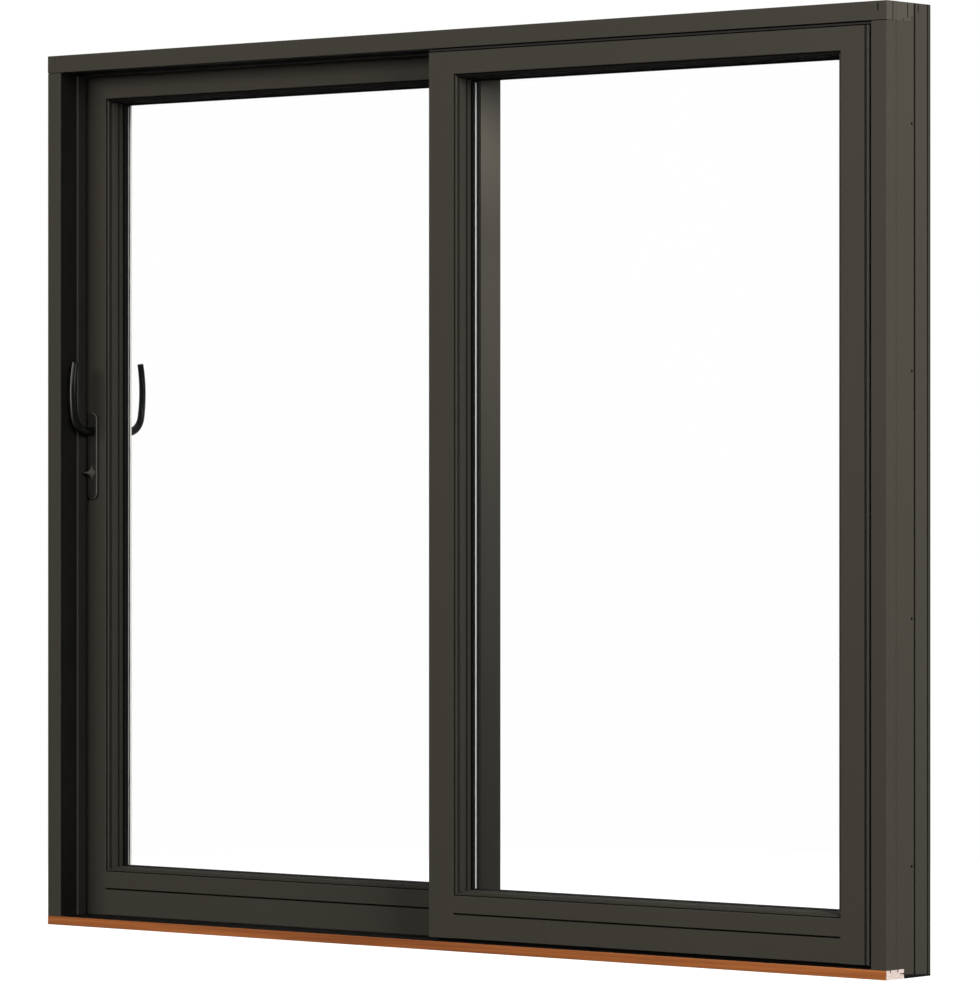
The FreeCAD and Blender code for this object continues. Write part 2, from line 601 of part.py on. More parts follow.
class Leaf:
    """One glazed leaf: where its edges, its glass opening and its near face are."""

    def __init__(self, edges, opening, heights, front):
        self.left, self.right = edges
        self.glass_left, self.glass_right = opening
        self.bottom, self.top = heights
        self.front = front

    def stile(self, x0, x1):
        """Upright timber of the leaf; its glass-side arris is rounded only between the rails."""
        back = self.front + LEAF_THICK - CLADDING_THICK
        bar = near_edges_rounded(block(x0, x1, self.front, back, GLASS_LOW, GLASS_HIGH), "z",
                                 self.front, LEAF_ARRIS)
        outer = x0 if x0 in (self.left, self.right) else x1
        parts = []
        for z0, z1 in ((self.bottom, GLASS_LOW), (GLASS_HIGH, self.top)):
            end = block(x0, x1, self.front, back, z0, z1)
            parts.append(round_long_edges(
                end, "z", LEAF_ARRIS,
                lambda centre: abs(centre.x - outer) + abs(centre.y - y_of(self.front)) < LEAF_ARRIS / 100))
        return bar.fuse(parts).removeSplitter()

    def stile_left(self):
        return self.stile(self.left, self.glass_left)

    def stile_right(self):
        return self.stile(self.glass_right, self.right)

    def rail_top(self):
        bar = block(self.glass_left, self.glass_right, self.front, self.front + LEAF_THICK - CLADDING_THICK,
                    GLASS_HIGH, self.top)
        return near_edges_rounded(bar, "x", self.front, LEAF_ARRIS)

    def rail_bottom(self):
        """Lower rail with the groove along its face."""
        bar = block(self.glass_left, self.glass_right, self.front, self.front + LEAF_THICK - CLADDING_THICK,
                    self.bottom, GLASS_LOW)
        bar = near_edges_rounded(bar, "x", self.front, LEAF_ARRIS)
        middle = GLASS_LOW - RAIL_GROOVE_DROP
        half = RAIL_GROOVE_WIDTH / 2
        groove = block(self.glass_left, self.glass_right, self.front - THROUGH,
                       self.front + RAIL_GROOVE_DEPTH, middle - half, middle + half)
        return bar.cut(groove)

    def cladding_stiles(self):
        """Metal facings of the two stiles on the weather side."""
        back = self.front + LEAF_THICK
        left_end = self.glass_left + BEAD_SIGHT
        right_start = self.glass_right - BEAD_SIGHT
        bars = []
        for x0, x1 in ((self.left, left_end), (right_start, self.right)):
            bar = block(x0, x1, back - CLADDING_THICK, back, self.bottom, self.top)
            bars.append(back_edges_rounded(bar, "z", back, CLADDING_ROUND))
        return Part.makeCompound(bars)

    def cladding_rails(self):
        """Metal facings of the two rails on the weather side."""
        back = self.front + LEAF_THICK
        x0 = self.glass_left + BEAD_SIGHT
        x1 = self.glass_right - BEAD_SIGHT
        bars = []
        for z0, z1 in ((self.bottom, GLASS_LOW + BEAD_SIGHT), (GLASS_HIGH - BEAD_SIGHT, self.top)):
            bar = block(x0, x1, back - CLADDING_THICK, back, z0, z1)
            bars.append(back_edges_rounded(bar, "x", back, CLADDING_ROUND))
        return Part.makeCompound(bars)

    def bead(self, start, finish, inwards):
        """One glazing bead with mitred ends, between two corners of the glass opening."""
        along = (finish - start).normalize()
        ends = []
        for corner, sign in ((start, 1), (finish, -1)):
            points = []
            for inset, depth in bead_outline():
                point = corner + inwards * inset + along * (sign * inset)
                points.append(FreeCAD.Vector(point.x, y_of(self.front + depth), point.z))
            ends.append(Part.makePolygon(points + points[:1]))
        return Part.makeLoft(ends, True, True)

    def corners(self):
        """Corners of the glass opening, anticlockwise from the lower left."""
        return [
            FreeCAD.Vector(self.glass_left, 0, GLASS_LOW),
            FreeCAD.Vector(self.glass_right, 0, GLASS_LOW),
            FreeCAD.Vector(self.glass_right, 0, GLASS_HIGH),
            FreeCAD.Vector(self.glass_left, 0, GLASS_HIGH),
        ]

    def beads_upright(self):
        """The beads along the two stiles."""
        low_left, low_right, high_right, high_left = self.corners()
        left = self.bead(low_left, high_left, FreeCAD.Vector(1, 0, 0))
        right = self.bead(low_right, high_right, FreeCAD.Vector(-1, 0, 0))
        return Part.makeCompound([left, right])

    def beads_level(self):
        """The beads along the two rails."""
        low_left, low_right, high_right, high_left = self.corners()
        low = self.bead(low_left, low_right, FreeCAD.Vector(0, 0, 1))
        high = self.bead(high_left, high_right, FreeCAD.Vector(0, 0, -1))
        return Part.makeCompound([low, high])

    def glass(self):
        """Two panes with the cavity between them."""
        gap = GLASS_EDGE_GAP
        near = self.front + BEAD_DEPTH
        panes = []
        for depth in (near, near + PANE_THICK + GLASS_CAVITY):
            panes.append(block(self.glass_left + gap, self.glass_right - gap, depth, depth + PANE_THICK,
                               GLASS_LOW + gap, GLASS_HIGH - gap))
        return Part.makeCompound(panes)

    def spacer(self):
        """Metal spacer frame between the panes, just inside the beads' sight line."""
        near = self.front + BEAD_DEPTH + PANE_THICK
        outer = GLASS_EDGE_GAP + SPACER_INSET
        inner = BEAD_SIGHT + SPACER_SHOW
        ring = block(self.glass_left + outer, self.glass_right - outer, near, near + GLASS_CAVITY,
                     GLASS_LOW + outer, GLASS_HIGH - outer)
        hole = block(self.glass_left + inner, self.glass_right - inner, near - THROUGH,
                     near + GLASS_CAVITY + THROUGH, GLASS_LOW + inner, GLASS_HIGH - inner)
        return ring.cut(hole)


def bead_outline():
    """Stepped bead section: inset from the stile's edge, depth from the leaf's near face."""
    nose = BEAD_GAP_WIDTH + BEAD_NOSE_WIDTH
    quirk_depth = BEAD_SETBACK + BEAD_NOSE_DEPTH
    step_depth = quirk_depth + BEAD_QUIRK_DEPTH
    step = nose - BEAD_QUIRK_WIDTH + BEAD_STEP_WIDTH
    last_depth = step_depth + BEAD_STEP_DEPTH
    last = step + BEAD_LAST_WIDTH
    return [
        (0, BEAD_GAP_DEPTH),
        (BEAD_GAP_WIDTH, BEAD_GAP_DEPTH),
        (BEAD_GAP_WIDTH, BEAD_SETBACK),
        (nose, BEAD_SETBACK),
        (nose, quirk_depth),
        (nose - BEAD_QUIRK_WIDTH, quirk_depth),
        (nose - BEAD_QUIRK_WIDTH, step_depth),
        (step, step_depth),
        (step, last_depth),
        (last, last_depth),
        (last, BEAD_DEPTH - BEAD_SEAL_DEPTH),
        (BEAD_SIGHT, BEAD_DEPTH - BEAD_SEAL_DEPTH),
        (BEAD_SIGHT, BEAD_DEPTH),
        (0, BEAD_DEPTH),
    ]


BEAD_SIGHT = (BEAD_GAP_WIDTH + BEAD_NOSE_WIDTH - BEAD_QUIRK_WIDTH + BEAD_STEP_WIDTH
              + BEAD_LAST_WIDTH + BEAD_SEAL_WIDTH)

FIXED_LEAF = Leaf((FIXED_LEFT, FIXED_RIGHT), (FIXED_GLASS_LEFT, FIXED_GLASS_RIGHT),
                  (FIXED_BOTTOM, FIXED_TOP), FIXED_FRONT)
SLIDING_LEAF = Leaf((SLIDING_LEFT, SLIDING_RIGHT), (SLIDING_GLASS_LEFT, SLIDING_GLASS_RIGHT),
                    (SLIDING_BOTTOM, SLIDING_TOP), SLIDING_FRONT)


def roller_axis():
    """Depth and height of the roller axles."""
    return (SLIDING_FRONT + SLIDING_BACK) / 2, TRACK_TOP + ROLLER_GAP + ROLLER_RADIUS


def sliding_rail_bottom():
    """Lower rail of the sliding leaf, slotted underneath for track and rollers."""
    depth, height = roller_axis()
    half = ROLLER_SLOT_WIDTH / 2
    ceiling = height + ROLLER_RADIUS + ROLLER_SLOT_HEADROOM
    slot = block(SLIDING_GLASS_LEFT, SLIDING_GLASS_RIGHT, depth - half, depth + half,
                 SLIDING_BOTTOM - THROUGH, ceiling)
    return SLIDING_LEAF.rail_bottom().cut(slot)


def sliding_stile(x0, x1):
    """Stile of the sliding leaf, notched over the track."""
    depth = roller_axis()[0]
    half = ROLLER_SLOT_WIDTH / 2
    notch = block(x0 - THROUGH, x1 + THROUGH, depth - half, depth + half,
                  SLIDING_BOTTOM - THROUGH, TRACK_TOP + RUN_CLEARANCE)
    return SLIDING_LEAF.stile(x0, x1).cut(notch)


def sliding_rollers():
    """Two rollers on axles that span the rail's slot."""
    depth, height = roller_axis()
    toward = FreeCAD.Vector(0, 1, 0)
    sets = []
    for x in (SLIDING_GLASS_LEFT + ROLLER_FROM_END, SLIDING_GLASS_RIGHT - ROLLER_FROM_END):
        wheel = Part.makeCylinder(ROLLER_RADIUS, ROLLER_WIDTH,
                                  FreeCAD.Vector(x, y_of(depth - ROLLER_WIDTH / 2), height), toward)
        axle = Part.makeCylinder(AXLE_RADIUS, ROLLER_SLOT_WIDTH,
                                 FreeCAD.Vector(x, y_of(depth - ROLLER_SLOT_WIDTH / 2), height), toward)
        sets.append(wheel.fuse(axle).removeSplitter())
    return Part.makeCompound(sets)


def fixed_interlock():
    """Angle on the back of the fixed meeting stile; its lip stands towards the sliding leaf."""
    x0 = FIXED_LEFT + INTERLOCK_INSET
    lip_end = SLIDING_FRONT - INTERLOCK_THICK - RUN_CLEARANCE
    base = block(x0, x0 + INTERLOCK_BASE, FIXED_BACK, FIXED_BACK + INTERLOCK_THICK, FIXED_BOTTOM, FIXED_TOP)
    lip = block(x0, x0 + INTERLOCK_THICK, FIXED_BACK, lip_end, FIXED_BOTTOM, FIXED_TOP)
    return base.fuse(lip).removeSplitter()


def sliding_interlock():
    """Angle on the near face of the sliding meeting stile; its lip passes the fixed one."""
    x0 = FIXED_LEFT + INTERLOCK_INSET + INTERLOCK_THICK + INTERLOCK_LIP_GAP
    lip_end = FIXED_BACK + INTERLOCK_THICK + RUN_CLEARANCE
    base = block(x0, x0 + INTERLOCK_BASE, SLIDING_FRONT - INTERLOCK_THICK, SLIDING_FRONT,
                 FIXED_BOTTOM, FIXED_TOP)
    lip = block(x0, x0 + INTERLOCK_THICK, lip_end, SLIDING_FRONT, FIXED_BOTTOM, FIXED_TOP)
    return base.fuse(lip).removeSplitter()


def handle_plate(seat, outwards):
    """Slender plate with round ends; seat is its depth, outwards is -1 room side, 1 weather side."""
    radius = PLATE_WIDTH / 2
    low = PLATE_FOOT + radius
    high = PLATE_FOOT + PLATE_HEIGHT - radius
    y = y_of(seat)
    left = HANDLE_X - radius
    right = HANDLE_X + radius
    foot = Part.Arc(FreeCAD.Vector(left, y, low), FreeCAD.Vector(HANDLE_X, y, PLATE_FOOT),
                    FreeCAD.Vector(right, y, low)).toShape()
    rise = Part.LineSegment(FreeCAD.Vector(right, y, low), FreeCAD.Vector(right, y, high)).toShape()
    crown = Part.Arc(FreeCAD.Vector(right, y, high), FreeCAD.Vector(HANDLE_X, y, PLATE_FOOT + PLATE_HEIGHT),
                     FreeCAD.Vector(left, y, high)).toShape()
    fall = Part.LineSegment(FreeCAD.Vector(left, y, high), FreeCAD.Vector(left, y, low)).toShape()
    face = Part.Face(Part.Wire([foot, rise, crown, fall]))
    plate = face.extrude(FreeCAD.Vector(0, outwards * PLATE_THICK, 0))
    front = y + outwards * PLATE_THICK
    rim = [edge for edge in plate.Edges if abs(edge.BoundBox.YMin - front) < PLATE_EDGE_CHAMFER / 100
           and abs(edge.BoundBox.YMax - front) < PLATE_EDGE_CHAMFER / 100]
    return plate.makeChamfer(PLATE_EDGE_CHAMFER, rim)


def pull_line(reach):
    """Centre line of a pull: (outwards, up, turn in degrees, width, thickness) at each section."""
    bend_start = reach - PULL_BEND_RADIUS * math.sin(math.radians(PULL_BEND_ANGLE))
    bend_start -= PULL_BOW_RADIUS * (1 - math.sin(math.radians(PULL_BEND_ANGLE)))
    stations = [(PLATE_THICK, 0.0, 0.0, PULL_ROOT_WIDTH, PULL_ROOT_THICK)]
    for step in range(PULL_BEND_STEPS + 1):
        share = step / PULL_BEND_STEPS
        width = PULL_ROOT_WIDTH + (PULL_GRIP_WIDTH - PULL_ROOT_WIDTH) * share
        thick = PULL_ROOT_THICK + (PULL_GRIP_THICK - PULL_ROOT_THICK) * share
        turn = PULL_BEND_ANGLE * share
        angle = math.radians(turn)
        outwards = bend_start + PULL_BEND_RADIUS * math.sin(angle)
        up = PULL_BEND_RADIUS * (1 - math.cos(angle))
        stations.append((outwards, up, turn, width, thick))
    bow_centre = (outwards - PULL_BOW_RADIUS * math.sin(angle), up + PULL_BOW_RADIUS * math.cos(angle))
    for step in range(1, PULL_BOW_STEPS + 1):
        share = step / PULL_BOW_STEPS
        turn = PULL_BEND_ANGLE + (90 + PULL_BOW_LEAN - PULL_BEND_ANGLE) * share
        angle = math.radians(turn)
        outwards = bow_centre[0] + PULL_BOW_RADIUS * math.sin(angle)
        up = bow_centre[1] - PULL_BOW_RADIUS * math.cos(angle)
        width = PULL_GRIP_WIDTH + (PULL_TIP_WIDTH - PULL_GRIP_WIDTH) * share
        thick = PULL_GRIP_THICK + (PULL_TIP_THICK - PULL_GRIP_THICK) * share
        stations.append((outwards, up, turn, width, thick))
    return stations


def pull(seat, outwards, reach):
    """J-shaped pull: a neck from the plate, a bend, and a bowed grip with a free upper end."""
    sections = []
    for out, up, turn, width, thick in pull_line(reach):
        angle = math.radians(turn)
        centre = FreeCAD.Vector(HANDLE_X, y_of(seat) + outwards * out, PLATE_FOOT + PULL_FROM_PLATE_FOOT + up)
        travel = FreeCAD.Vector(0, outwards * math.cos(angle), math.sin(angle))
        across = FreeCAD.Vector(1, 0, 0)
        oval = Part.Ellipse(centre + across * (width / 2),
                            centre + travel.cross(across) * (thick / 2), centre)
        sections.append(Part.Wire([oval.toShape()]))
    return Part.makeLoft(sections, True, True)


def turn_axis_height():
    return PLATE_FOOT + TURN_FROM_PLATE_FOOT


def plate_inside():
    """Room-side plate with the hole for the thumb turn's spindle."""
    y = y_of(SLIDING_FRONT) + THROUGH
    hole = Part.makeCylinder(SPINDLE_RADIUS + SPINDLE_CLEARANCE, PLATE_THICK + 2 * THROUGH,
                             FreeCAD.Vector(HANDLE_X, y, turn_axis_height()), FreeCAD.Vector(0, -1, 0))
    return handle_plate(SLIDING_FRONT, -1).cut(hole)


def thumb_turn():
    """Fin with hollow flanks on a round boss, with its spindle in the plate."""
    z = turn_axis_height()
    seat = y_of(SLIDING_FRONT - PLATE_THICK - TURN_GAP)
    side = HANDLE_X - TURN_THICK / 2
    tip = seat - TURN_REACH

    def point(out, up):
        return FreeCAD.Vector(side, seat - out, z + up)

    middle = TURN_REACH / 2
    hollow = (TURN_HALF_BASE + TURN_TIP) / 2 - TURN_HOLLOW
    upper = Part.Arc(point(0, TURN_HALF_BASE), point(middle, hollow), point(TURN_REACH, TURN_TIP)).toShape()
    nose = Part.Arc(point(TURN_REACH, TURN_TIP), FreeCAD.Vector(side, tip - TURN_TIP, z),
                    point(TURN_REACH, -TURN_TIP)).toShape()
    lower = Part.Arc(point(TURN_REACH, -TURN_TIP), point(middle, -hollow),
                     point(0, -TURN_HALF_BASE)).toShape()
    back = Part.LineSegment(point(0, -TURN_HALF_BASE), point(0, TURN_HALF_BASE)).toShape()
    fin = Part.Face(Part.Wire([upper, nose, lower, back])).extrude(FreeCAD.Vector(TURN_THICK, 0, 0))
    outwards = FreeCAD.Vector(0, -1, 0)
    boss = Part.makeCylinder(TURN_BOSS_RADIUS, TURN_BOSS_THICK, FreeCAD.Vector(HANDLE_X, seat, z), outwards)
    spindle = Part.makeCylinder(SPINDLE_RADIUS, SPINDLE_DEPTH + TURN_GAP + THROUGH,
                                FreeCAD.Vector(HANDLE_X, seat - THROUGH, z), FreeCAD.Vector(0, 1, 0))
    return fin.fuse([boss, spindle]).removeSplitter()


def plate_outside():
    """Weather-side plate with a key cylinder opposite the thumb turn."""
    y = y_of(SLIDING_BACK) + PLATE_THICK
    z = turn_axis_height()
    outwards = FreeCAD.Vector(0, 1, 0)
    barrel = Part.makeCylinder(CYLINDER_RADIUS, CYLINDER_PROUD + PLATE_THICK / 2,
                               FreeCAD.Vector(HANDLE_X, y - PLATE_THICK / 2, z), outwards)
    front = y + CYLINDER_PROUD
    keyway = Part.makeBox(KEYWAY_WIDTH, KEYWAY_DEPTH + THROUGH, KEYWAY_HEIGHT,
                          FreeCAD.Vector(HANDLE_X - KEYWAY_WIDTH / 2, front - KEYWAY_DEPTH,
                                         z - KEYWAY_HEIGHT / 2))
    return handle_plate(SLIDING_BACK, 1).fuse(barrel).cut(keyway).removeSplitter()


def leaf_nodes(name, leaf):
    """The pieces that both leaves have."""
    return {
        name + "_rail_top": leaf.rail_top(),
        name + "_beads_upright": leaf.beads_upright(),
        name + "_beads_level": leaf.beads_level(),
        name + "_glass": leaf.glass(),
        name + "_spacer": leaf.spacer(),
        name + "_cladding_rails": leaf.cladding_rails(),
    }


def build():
    """Every node of the door by name."""
    nodes = {
        "head": head(),
        "jamb_left": jamb(-1),
        "jamb_right": jamb(1),
        "head_outer": head_outer(),
        "jamb_outer_left": jamb_outer(-1),
        "jamb_outer_right": jamb_outer(1),
        "sill_nosing": sill_nosing(),
        "sill_pan": sill_pan(),
        "sill_deck": sill_deck(),
        "sill_well": sill_well(),
        "sill_track": sill_track(),
        "jamb_cover_left": jamb_cover_left(),
        "jamb_liner_left": jamb_liner_left(),
        "head_liner": head_liner(),
        "fixed_filler": fixed_filler(),
        "fixed_reveal_top": fixed_reveal_top(),
        "fixed_reveal_right": fixed_reveal_right(),
        "fixed_stile_left": FIXED_LEAF.stile_left(),
        "fixed_stile_right": FIXED_LEAF.stile_right(),
        "fixed_rail_bottom": FIXED_LEAF.rail_bottom(),
        "fixed_cladding_stiles": FIXED_LEAF.cladding_stiles(),
        "fixed_interlock": fixed_interlock(),
        "sliding_stile_left": sliding_stile(SLIDING_LEFT, SLIDING_GLASS_LEFT),
        "sliding_stile_right": sliding_stile(SLIDING_GLASS_RIGHT, SLIDING_RIGHT),
        "sliding_rail_bottom": sliding_rail_bottom(),
        "sliding_cladding_stiles": SLIDING_LEAF.cladding_stiles(),
        "sliding_interlock": sliding_interlock(),
        "sliding_rollers": sliding_rollers(),
        "plate_inside": plate_inside(),
        "pull_inside": pull(SLIDING_FRONT, -1, INNER_REACH),
        "thumb_turn": thumb_turn(),
        "plate_outside": plate_outside(),
        "pull_outside": pull(SLIDING_BACK, 1, OUTER_REACH),
    }
    nodes.update(leaf_nodes("fixed", FIXED_LEAF))
    nodes.update(leaf_nodes("sliding", SLIDING_LEAF))
    return nodes


os.makedirs("parts", exist_ok=True)
for node_name, node_shape in build().items():
    node_shape.exportStep(os.path.join("parts", node_name + ".step"))
    print(node_name, len(node_shape.Solids), round(node_shape.Volume / 1000, 1), node_shape.isValid())
print("frame depth", FRAME_DEPTH, "opening", OPENING_WIDTH, "x", GLASS_HIGH - GLASS_LOW)
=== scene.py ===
"""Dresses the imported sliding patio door: finishes, seals, gaskets, brush strips, screws and handles."""

import json
import logging
import math
from dataclasses import dataclass, field
from enum import Enum
from typing import Dict, Iterable, List, Optional, Sequence, Tuple, Union

import bmesh
import bpy
from mathutils import Matrix, Vector


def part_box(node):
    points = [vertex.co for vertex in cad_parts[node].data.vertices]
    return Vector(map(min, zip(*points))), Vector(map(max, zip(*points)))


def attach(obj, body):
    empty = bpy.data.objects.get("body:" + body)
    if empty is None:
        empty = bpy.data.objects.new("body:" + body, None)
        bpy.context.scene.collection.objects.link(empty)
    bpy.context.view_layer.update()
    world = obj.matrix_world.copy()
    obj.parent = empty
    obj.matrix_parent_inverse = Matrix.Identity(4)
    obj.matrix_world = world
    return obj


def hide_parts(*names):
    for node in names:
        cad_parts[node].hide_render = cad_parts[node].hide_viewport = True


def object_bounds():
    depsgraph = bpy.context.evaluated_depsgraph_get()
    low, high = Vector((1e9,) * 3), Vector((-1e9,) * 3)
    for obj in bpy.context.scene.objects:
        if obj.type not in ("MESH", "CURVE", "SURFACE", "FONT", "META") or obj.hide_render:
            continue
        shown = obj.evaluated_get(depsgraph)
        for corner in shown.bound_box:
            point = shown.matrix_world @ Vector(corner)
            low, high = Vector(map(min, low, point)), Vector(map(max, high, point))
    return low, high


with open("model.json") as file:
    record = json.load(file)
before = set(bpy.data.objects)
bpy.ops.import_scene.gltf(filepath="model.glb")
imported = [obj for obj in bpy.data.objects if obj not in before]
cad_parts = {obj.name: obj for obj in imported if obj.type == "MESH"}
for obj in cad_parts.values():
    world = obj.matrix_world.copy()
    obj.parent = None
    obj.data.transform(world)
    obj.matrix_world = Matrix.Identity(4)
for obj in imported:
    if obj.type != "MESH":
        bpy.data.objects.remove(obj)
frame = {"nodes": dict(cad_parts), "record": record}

LOG = logging.getLogger("patio_door")
CAD_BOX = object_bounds()
FAR = 8.0  # A limit out here is no limit.
SHARP = 0.5  # Edges that turn by more than this are sharp, in radians.
CREASE = 38.0  # Smooth shading stops at edges that turn by more than this, in degrees.
NEAR_FACE = CAD_BOX[0].y
HALF_WIDTH = CAD_BOX[1].x
TOP = CAD_BOX[1].z

Colour = Tuple[float, float, float]
Triple = Tuple[float, float, float]
Pair = Tuple[float, float]
Limit = Tuple[str, float, float]


class Grain(Enum):
    """Which way a member's timber or extrusion runs."""

    UPRIGHT = "upright"
    LEVEL = "level"

    def stretch(self, along: float) -> Triple:
        """Scale of a pattern that is drawn out along the grain."""
        return (1.0, 1.0, along) if self is Grain.UPRIGHT else (along, 1.0, 1.0)


class Body(Enum):
    """The moving groups of the door."""

    FRAME = "frame"
    SLIDING = "sliding_leaf"
    TURN = "turn"


def linear(red: float, green: float, blue: float) -> Colour:
    """Turn a colour as seen on a screen, 0 to 255, into the values that shaders use.

    Args:
        red: Red, 0 to 255.
        green: Green, 0 to 255.
        blue: Blue, 0 to 255.

    Returns:
        The three values from 0 to 1.
    """
    return tuple(
        c / 255 / 12.92 if c / 255 <= 0.04045 else ((c / 255 + 0.055) / 1.055) ** 2.4
        for c in (red, green, blue)
    )


class Number:
    """A value that varies over a surface, used with Python's own operators."""

    def __init__(self, recipe: "Recipe", socket: bpy.types.NodeSocket) -> None:
        """Keep the recipe and the socket that gives the value."""
        self.recipe = recipe
        self.socket = socket

    def _math(self, operation: str, other: Union["Number", float, None] = None,
              swapped: bool = False) -> "Number":
        """Add one Math node.

        Args:
            operation: The node's operation.
            other: The second value, if the operation has one.
            swapped: True where other comes first.

        Returns:
            The result.
        """
        values = [self] if other is None else ([other, self] if swapped else [self, other])
        made = self.recipe.node("ShaderNodeMath", {"operation": operation}, dict(enumerate(values)))
        return Number(self.recipe, made.outputs[0])

    def __add__(self, other: Union["Number", float]) -> "Number":
        """Sum."""
        return self._math("ADD", other)

    __radd__ = __add__

    def __mul__(self, other: Union["Number", float]) -> "Number":
        """Product."""
        return self._math("MULTIPLY", other)

    __rmul__ = __mul__

    def __sub__(self, other: Union["Number", float]) -> "Number":
        """Difference."""
        return self._math("SUBTRACT", other)

    def __rsub__(self, other: Union["Number", float]) -> "Number":
        """Difference with this value second."""
        return self._math("SUBTRACT", other, swapped=True)

    def __pow__(self, other: Union["Number", float]) -> "Number":
        """Power."""
        return self._math("POWER", other)

    def __abs__(self) -> "Number":
        """Size without sign."""
        return self._math("ABSOLUTE")

    def above(self, edge: float, softness: float) -> "Number":
        """A smooth step.

        Args:
            edge: Where the step is half way up.
            softness: How wide the step is.

        Returns:
            0 below the step and 1 above it.
        """
        low, high = edge - softness / 2, edge + softness / 2
        made = self.recipe.node(
            "ShaderNodeMapRange",
            {"interpolation_type": "SMOOTHSTEP"},
            {"Value": self, "From Min": low, "From Max": high, "To Min": 0.0, "To Max": 1.0},
        )
        return Number(self.recipe, made.outputs[0])


class Recipe:
    """The nodes of one material or of the world, built up from patterns that follow the object."""

    def __init__(self, name: str, world: bool = False) -> None:
        """Start an empty material or world.

        Args:
            name: Its name.
            world: True for the world.
        """
        self.owner = (bpy.data.worlds if world else bpy.data.materials).new(name)
        self.owner.use_nodes = True
        self.tree = self.owner.node_tree
        self.tree.nodes.clear()
        self._object: Optional[bpy.types.NodeSocket] = None

    def node(self, kind: str, settings: Optional[Dict] = None,
             inputs: Optional[Dict] = None) -> bpy.types.Node:
        """Add any node.

        Args:
            kind: The node's type.
            settings: Properties, set first.
            inputs: Values or links, by the socket's name or number.

        Returns:
            The node.
        """
        made = self.tree.nodes.new(kind)
        for key, value in (settings or {}).items():
            setattr(made, key, value)
        for key, value in (inputs or {}).items():
            value = value.socket if isinstance(value, Number) else value
            if isinstance(value, bpy.types.NodeSocket):
                self.tree.links.new(value, made.inputs[key])
            else:
                made.inputs[key].default_value = value
        return made

    def place(self, stretch: Triple = (1.0, 1.0, 1.0)) -> bpy.types.NodeSocket:
        """Object coordinates through a Mapping node.

        Args:
            stretch: Scale along each axis.

        Returns:
            The vector.
        """
        if self._object is None:
            self._object = self.node("ShaderNodeTexCoord").outputs["Object"]
        made = self.node("ShaderNodeMapping", None, {"Vector": self._object, "Scale": stretch})
        return made.outputs[0]

    def coordinate(self, axis: str) -> Number:
        """One object coordinate, X, Y or Z, in metres."""
        split = self.node("ShaderNodeSeparateXYZ", None, {0: self.place()})
        return Number(self, split.outputs[axis])

    def noise(self, scale: float, detail: float = 3.0, stretch: Triple = (1.0, 1.0, 1.0),
              distortion: float = 0.0) -> Number:
        """Soft noise between 0 and 1.

        Args:
            scale: Cells per metre.
            detail: Octaves.
            stretch: Scale along each axis.
            distortion: How much the pattern is bent.

        Returns:
            The noise.
        """
        made = self.node("ShaderNodeTexNoise", None, {
            "Vector": self.place(stretch), "Scale": scale, "Detail": detail,
            "Roughness": 0.55, "Distortion": distortion,
        })
        return Number(self, made.outputs[0])

    def cells(self, scale: float) -> Number:
        """Distance to the nearest of many scattered points, with scale cells per metre."""
        made = self.node("ShaderNodeTexVoronoi", None, {"Vector": self.place(), "Scale": scale})
        return Number(self, made.outputs["Distance"])

    def mix(self, amount: Union[Number, float], first: Union[Colour, bpy.types.NodeSocket],
            second: Union[Colour, bpy.types.NodeSocket]) -> bpy.types.NodeSocket:
        """Blend two colours.

        Args:
            amount: Share of the second colour.
            first: First colour.
            second: Second colour.

        Returns:
            The blended colour.
        """
        pair = [(*c, 1.0) if isinstance(c, tuple) else c for c in (first, second)]
        made = self.node("ShaderNodeMix", {"data_type": "RGBA"}, {0: amount, 6: pair[0], 7: pair[1]})
        return made.outputs[2]

    def shade(self, colour: Colour, amount: Number, spread: float) -> bpy.types.NodeSocket:
        """A colour that turns a little darker and lighter with a pattern.

        Args:
            colour: The middle colour.
            amount: Pattern from 0 to 1.
            spread: Share by which it gets darker and lighter.

        Returns:
            The colour.
        """
        dark = tuple(c * (1 - spread) for c in colour)
        light = tuple(c * (1 + spread) for c in colour)
        return self.mix(amount, dark, light)

    def bump(self, height: Number, strength: float, distance: float,
             normal: Optional[bpy.types.NodeSocket] = None) -> bpy.types.NodeSocket:
        """Turn a height into a normal.

        Args:
            height: The height pattern.
            strength: Share of the effect.
            distance: Height of the pattern in metres.
            normal: A normal to add to.

        Returns:
            The normal.
        """
        inputs = {"Strength": strength, "Distance": distance, "Height": height}
        if normal is not None:
            inputs["Normal"] = normal
        return self.node("ShaderNodeBump", None, inputs).outputs[0]

    def surface(self, inputs: Dict) -> bpy.types.Material:
        """Close the material with one principled shader.

        Args:
            inputs: Values or links, by the socket's name.

        Returns:
            The material.
        """
        shader = self.node("ShaderNodeBsdfPrincipled", None, inputs)
        self.node("ShaderNodeOutputMaterial", None, {"Surface": shader.outputs[0]})
        return self.owner


def about(axis: str, middle: float, half: float) -> Limit:
    """Limits of a zone on both sides of its middle."""
    return axis, middle - half, middle + half


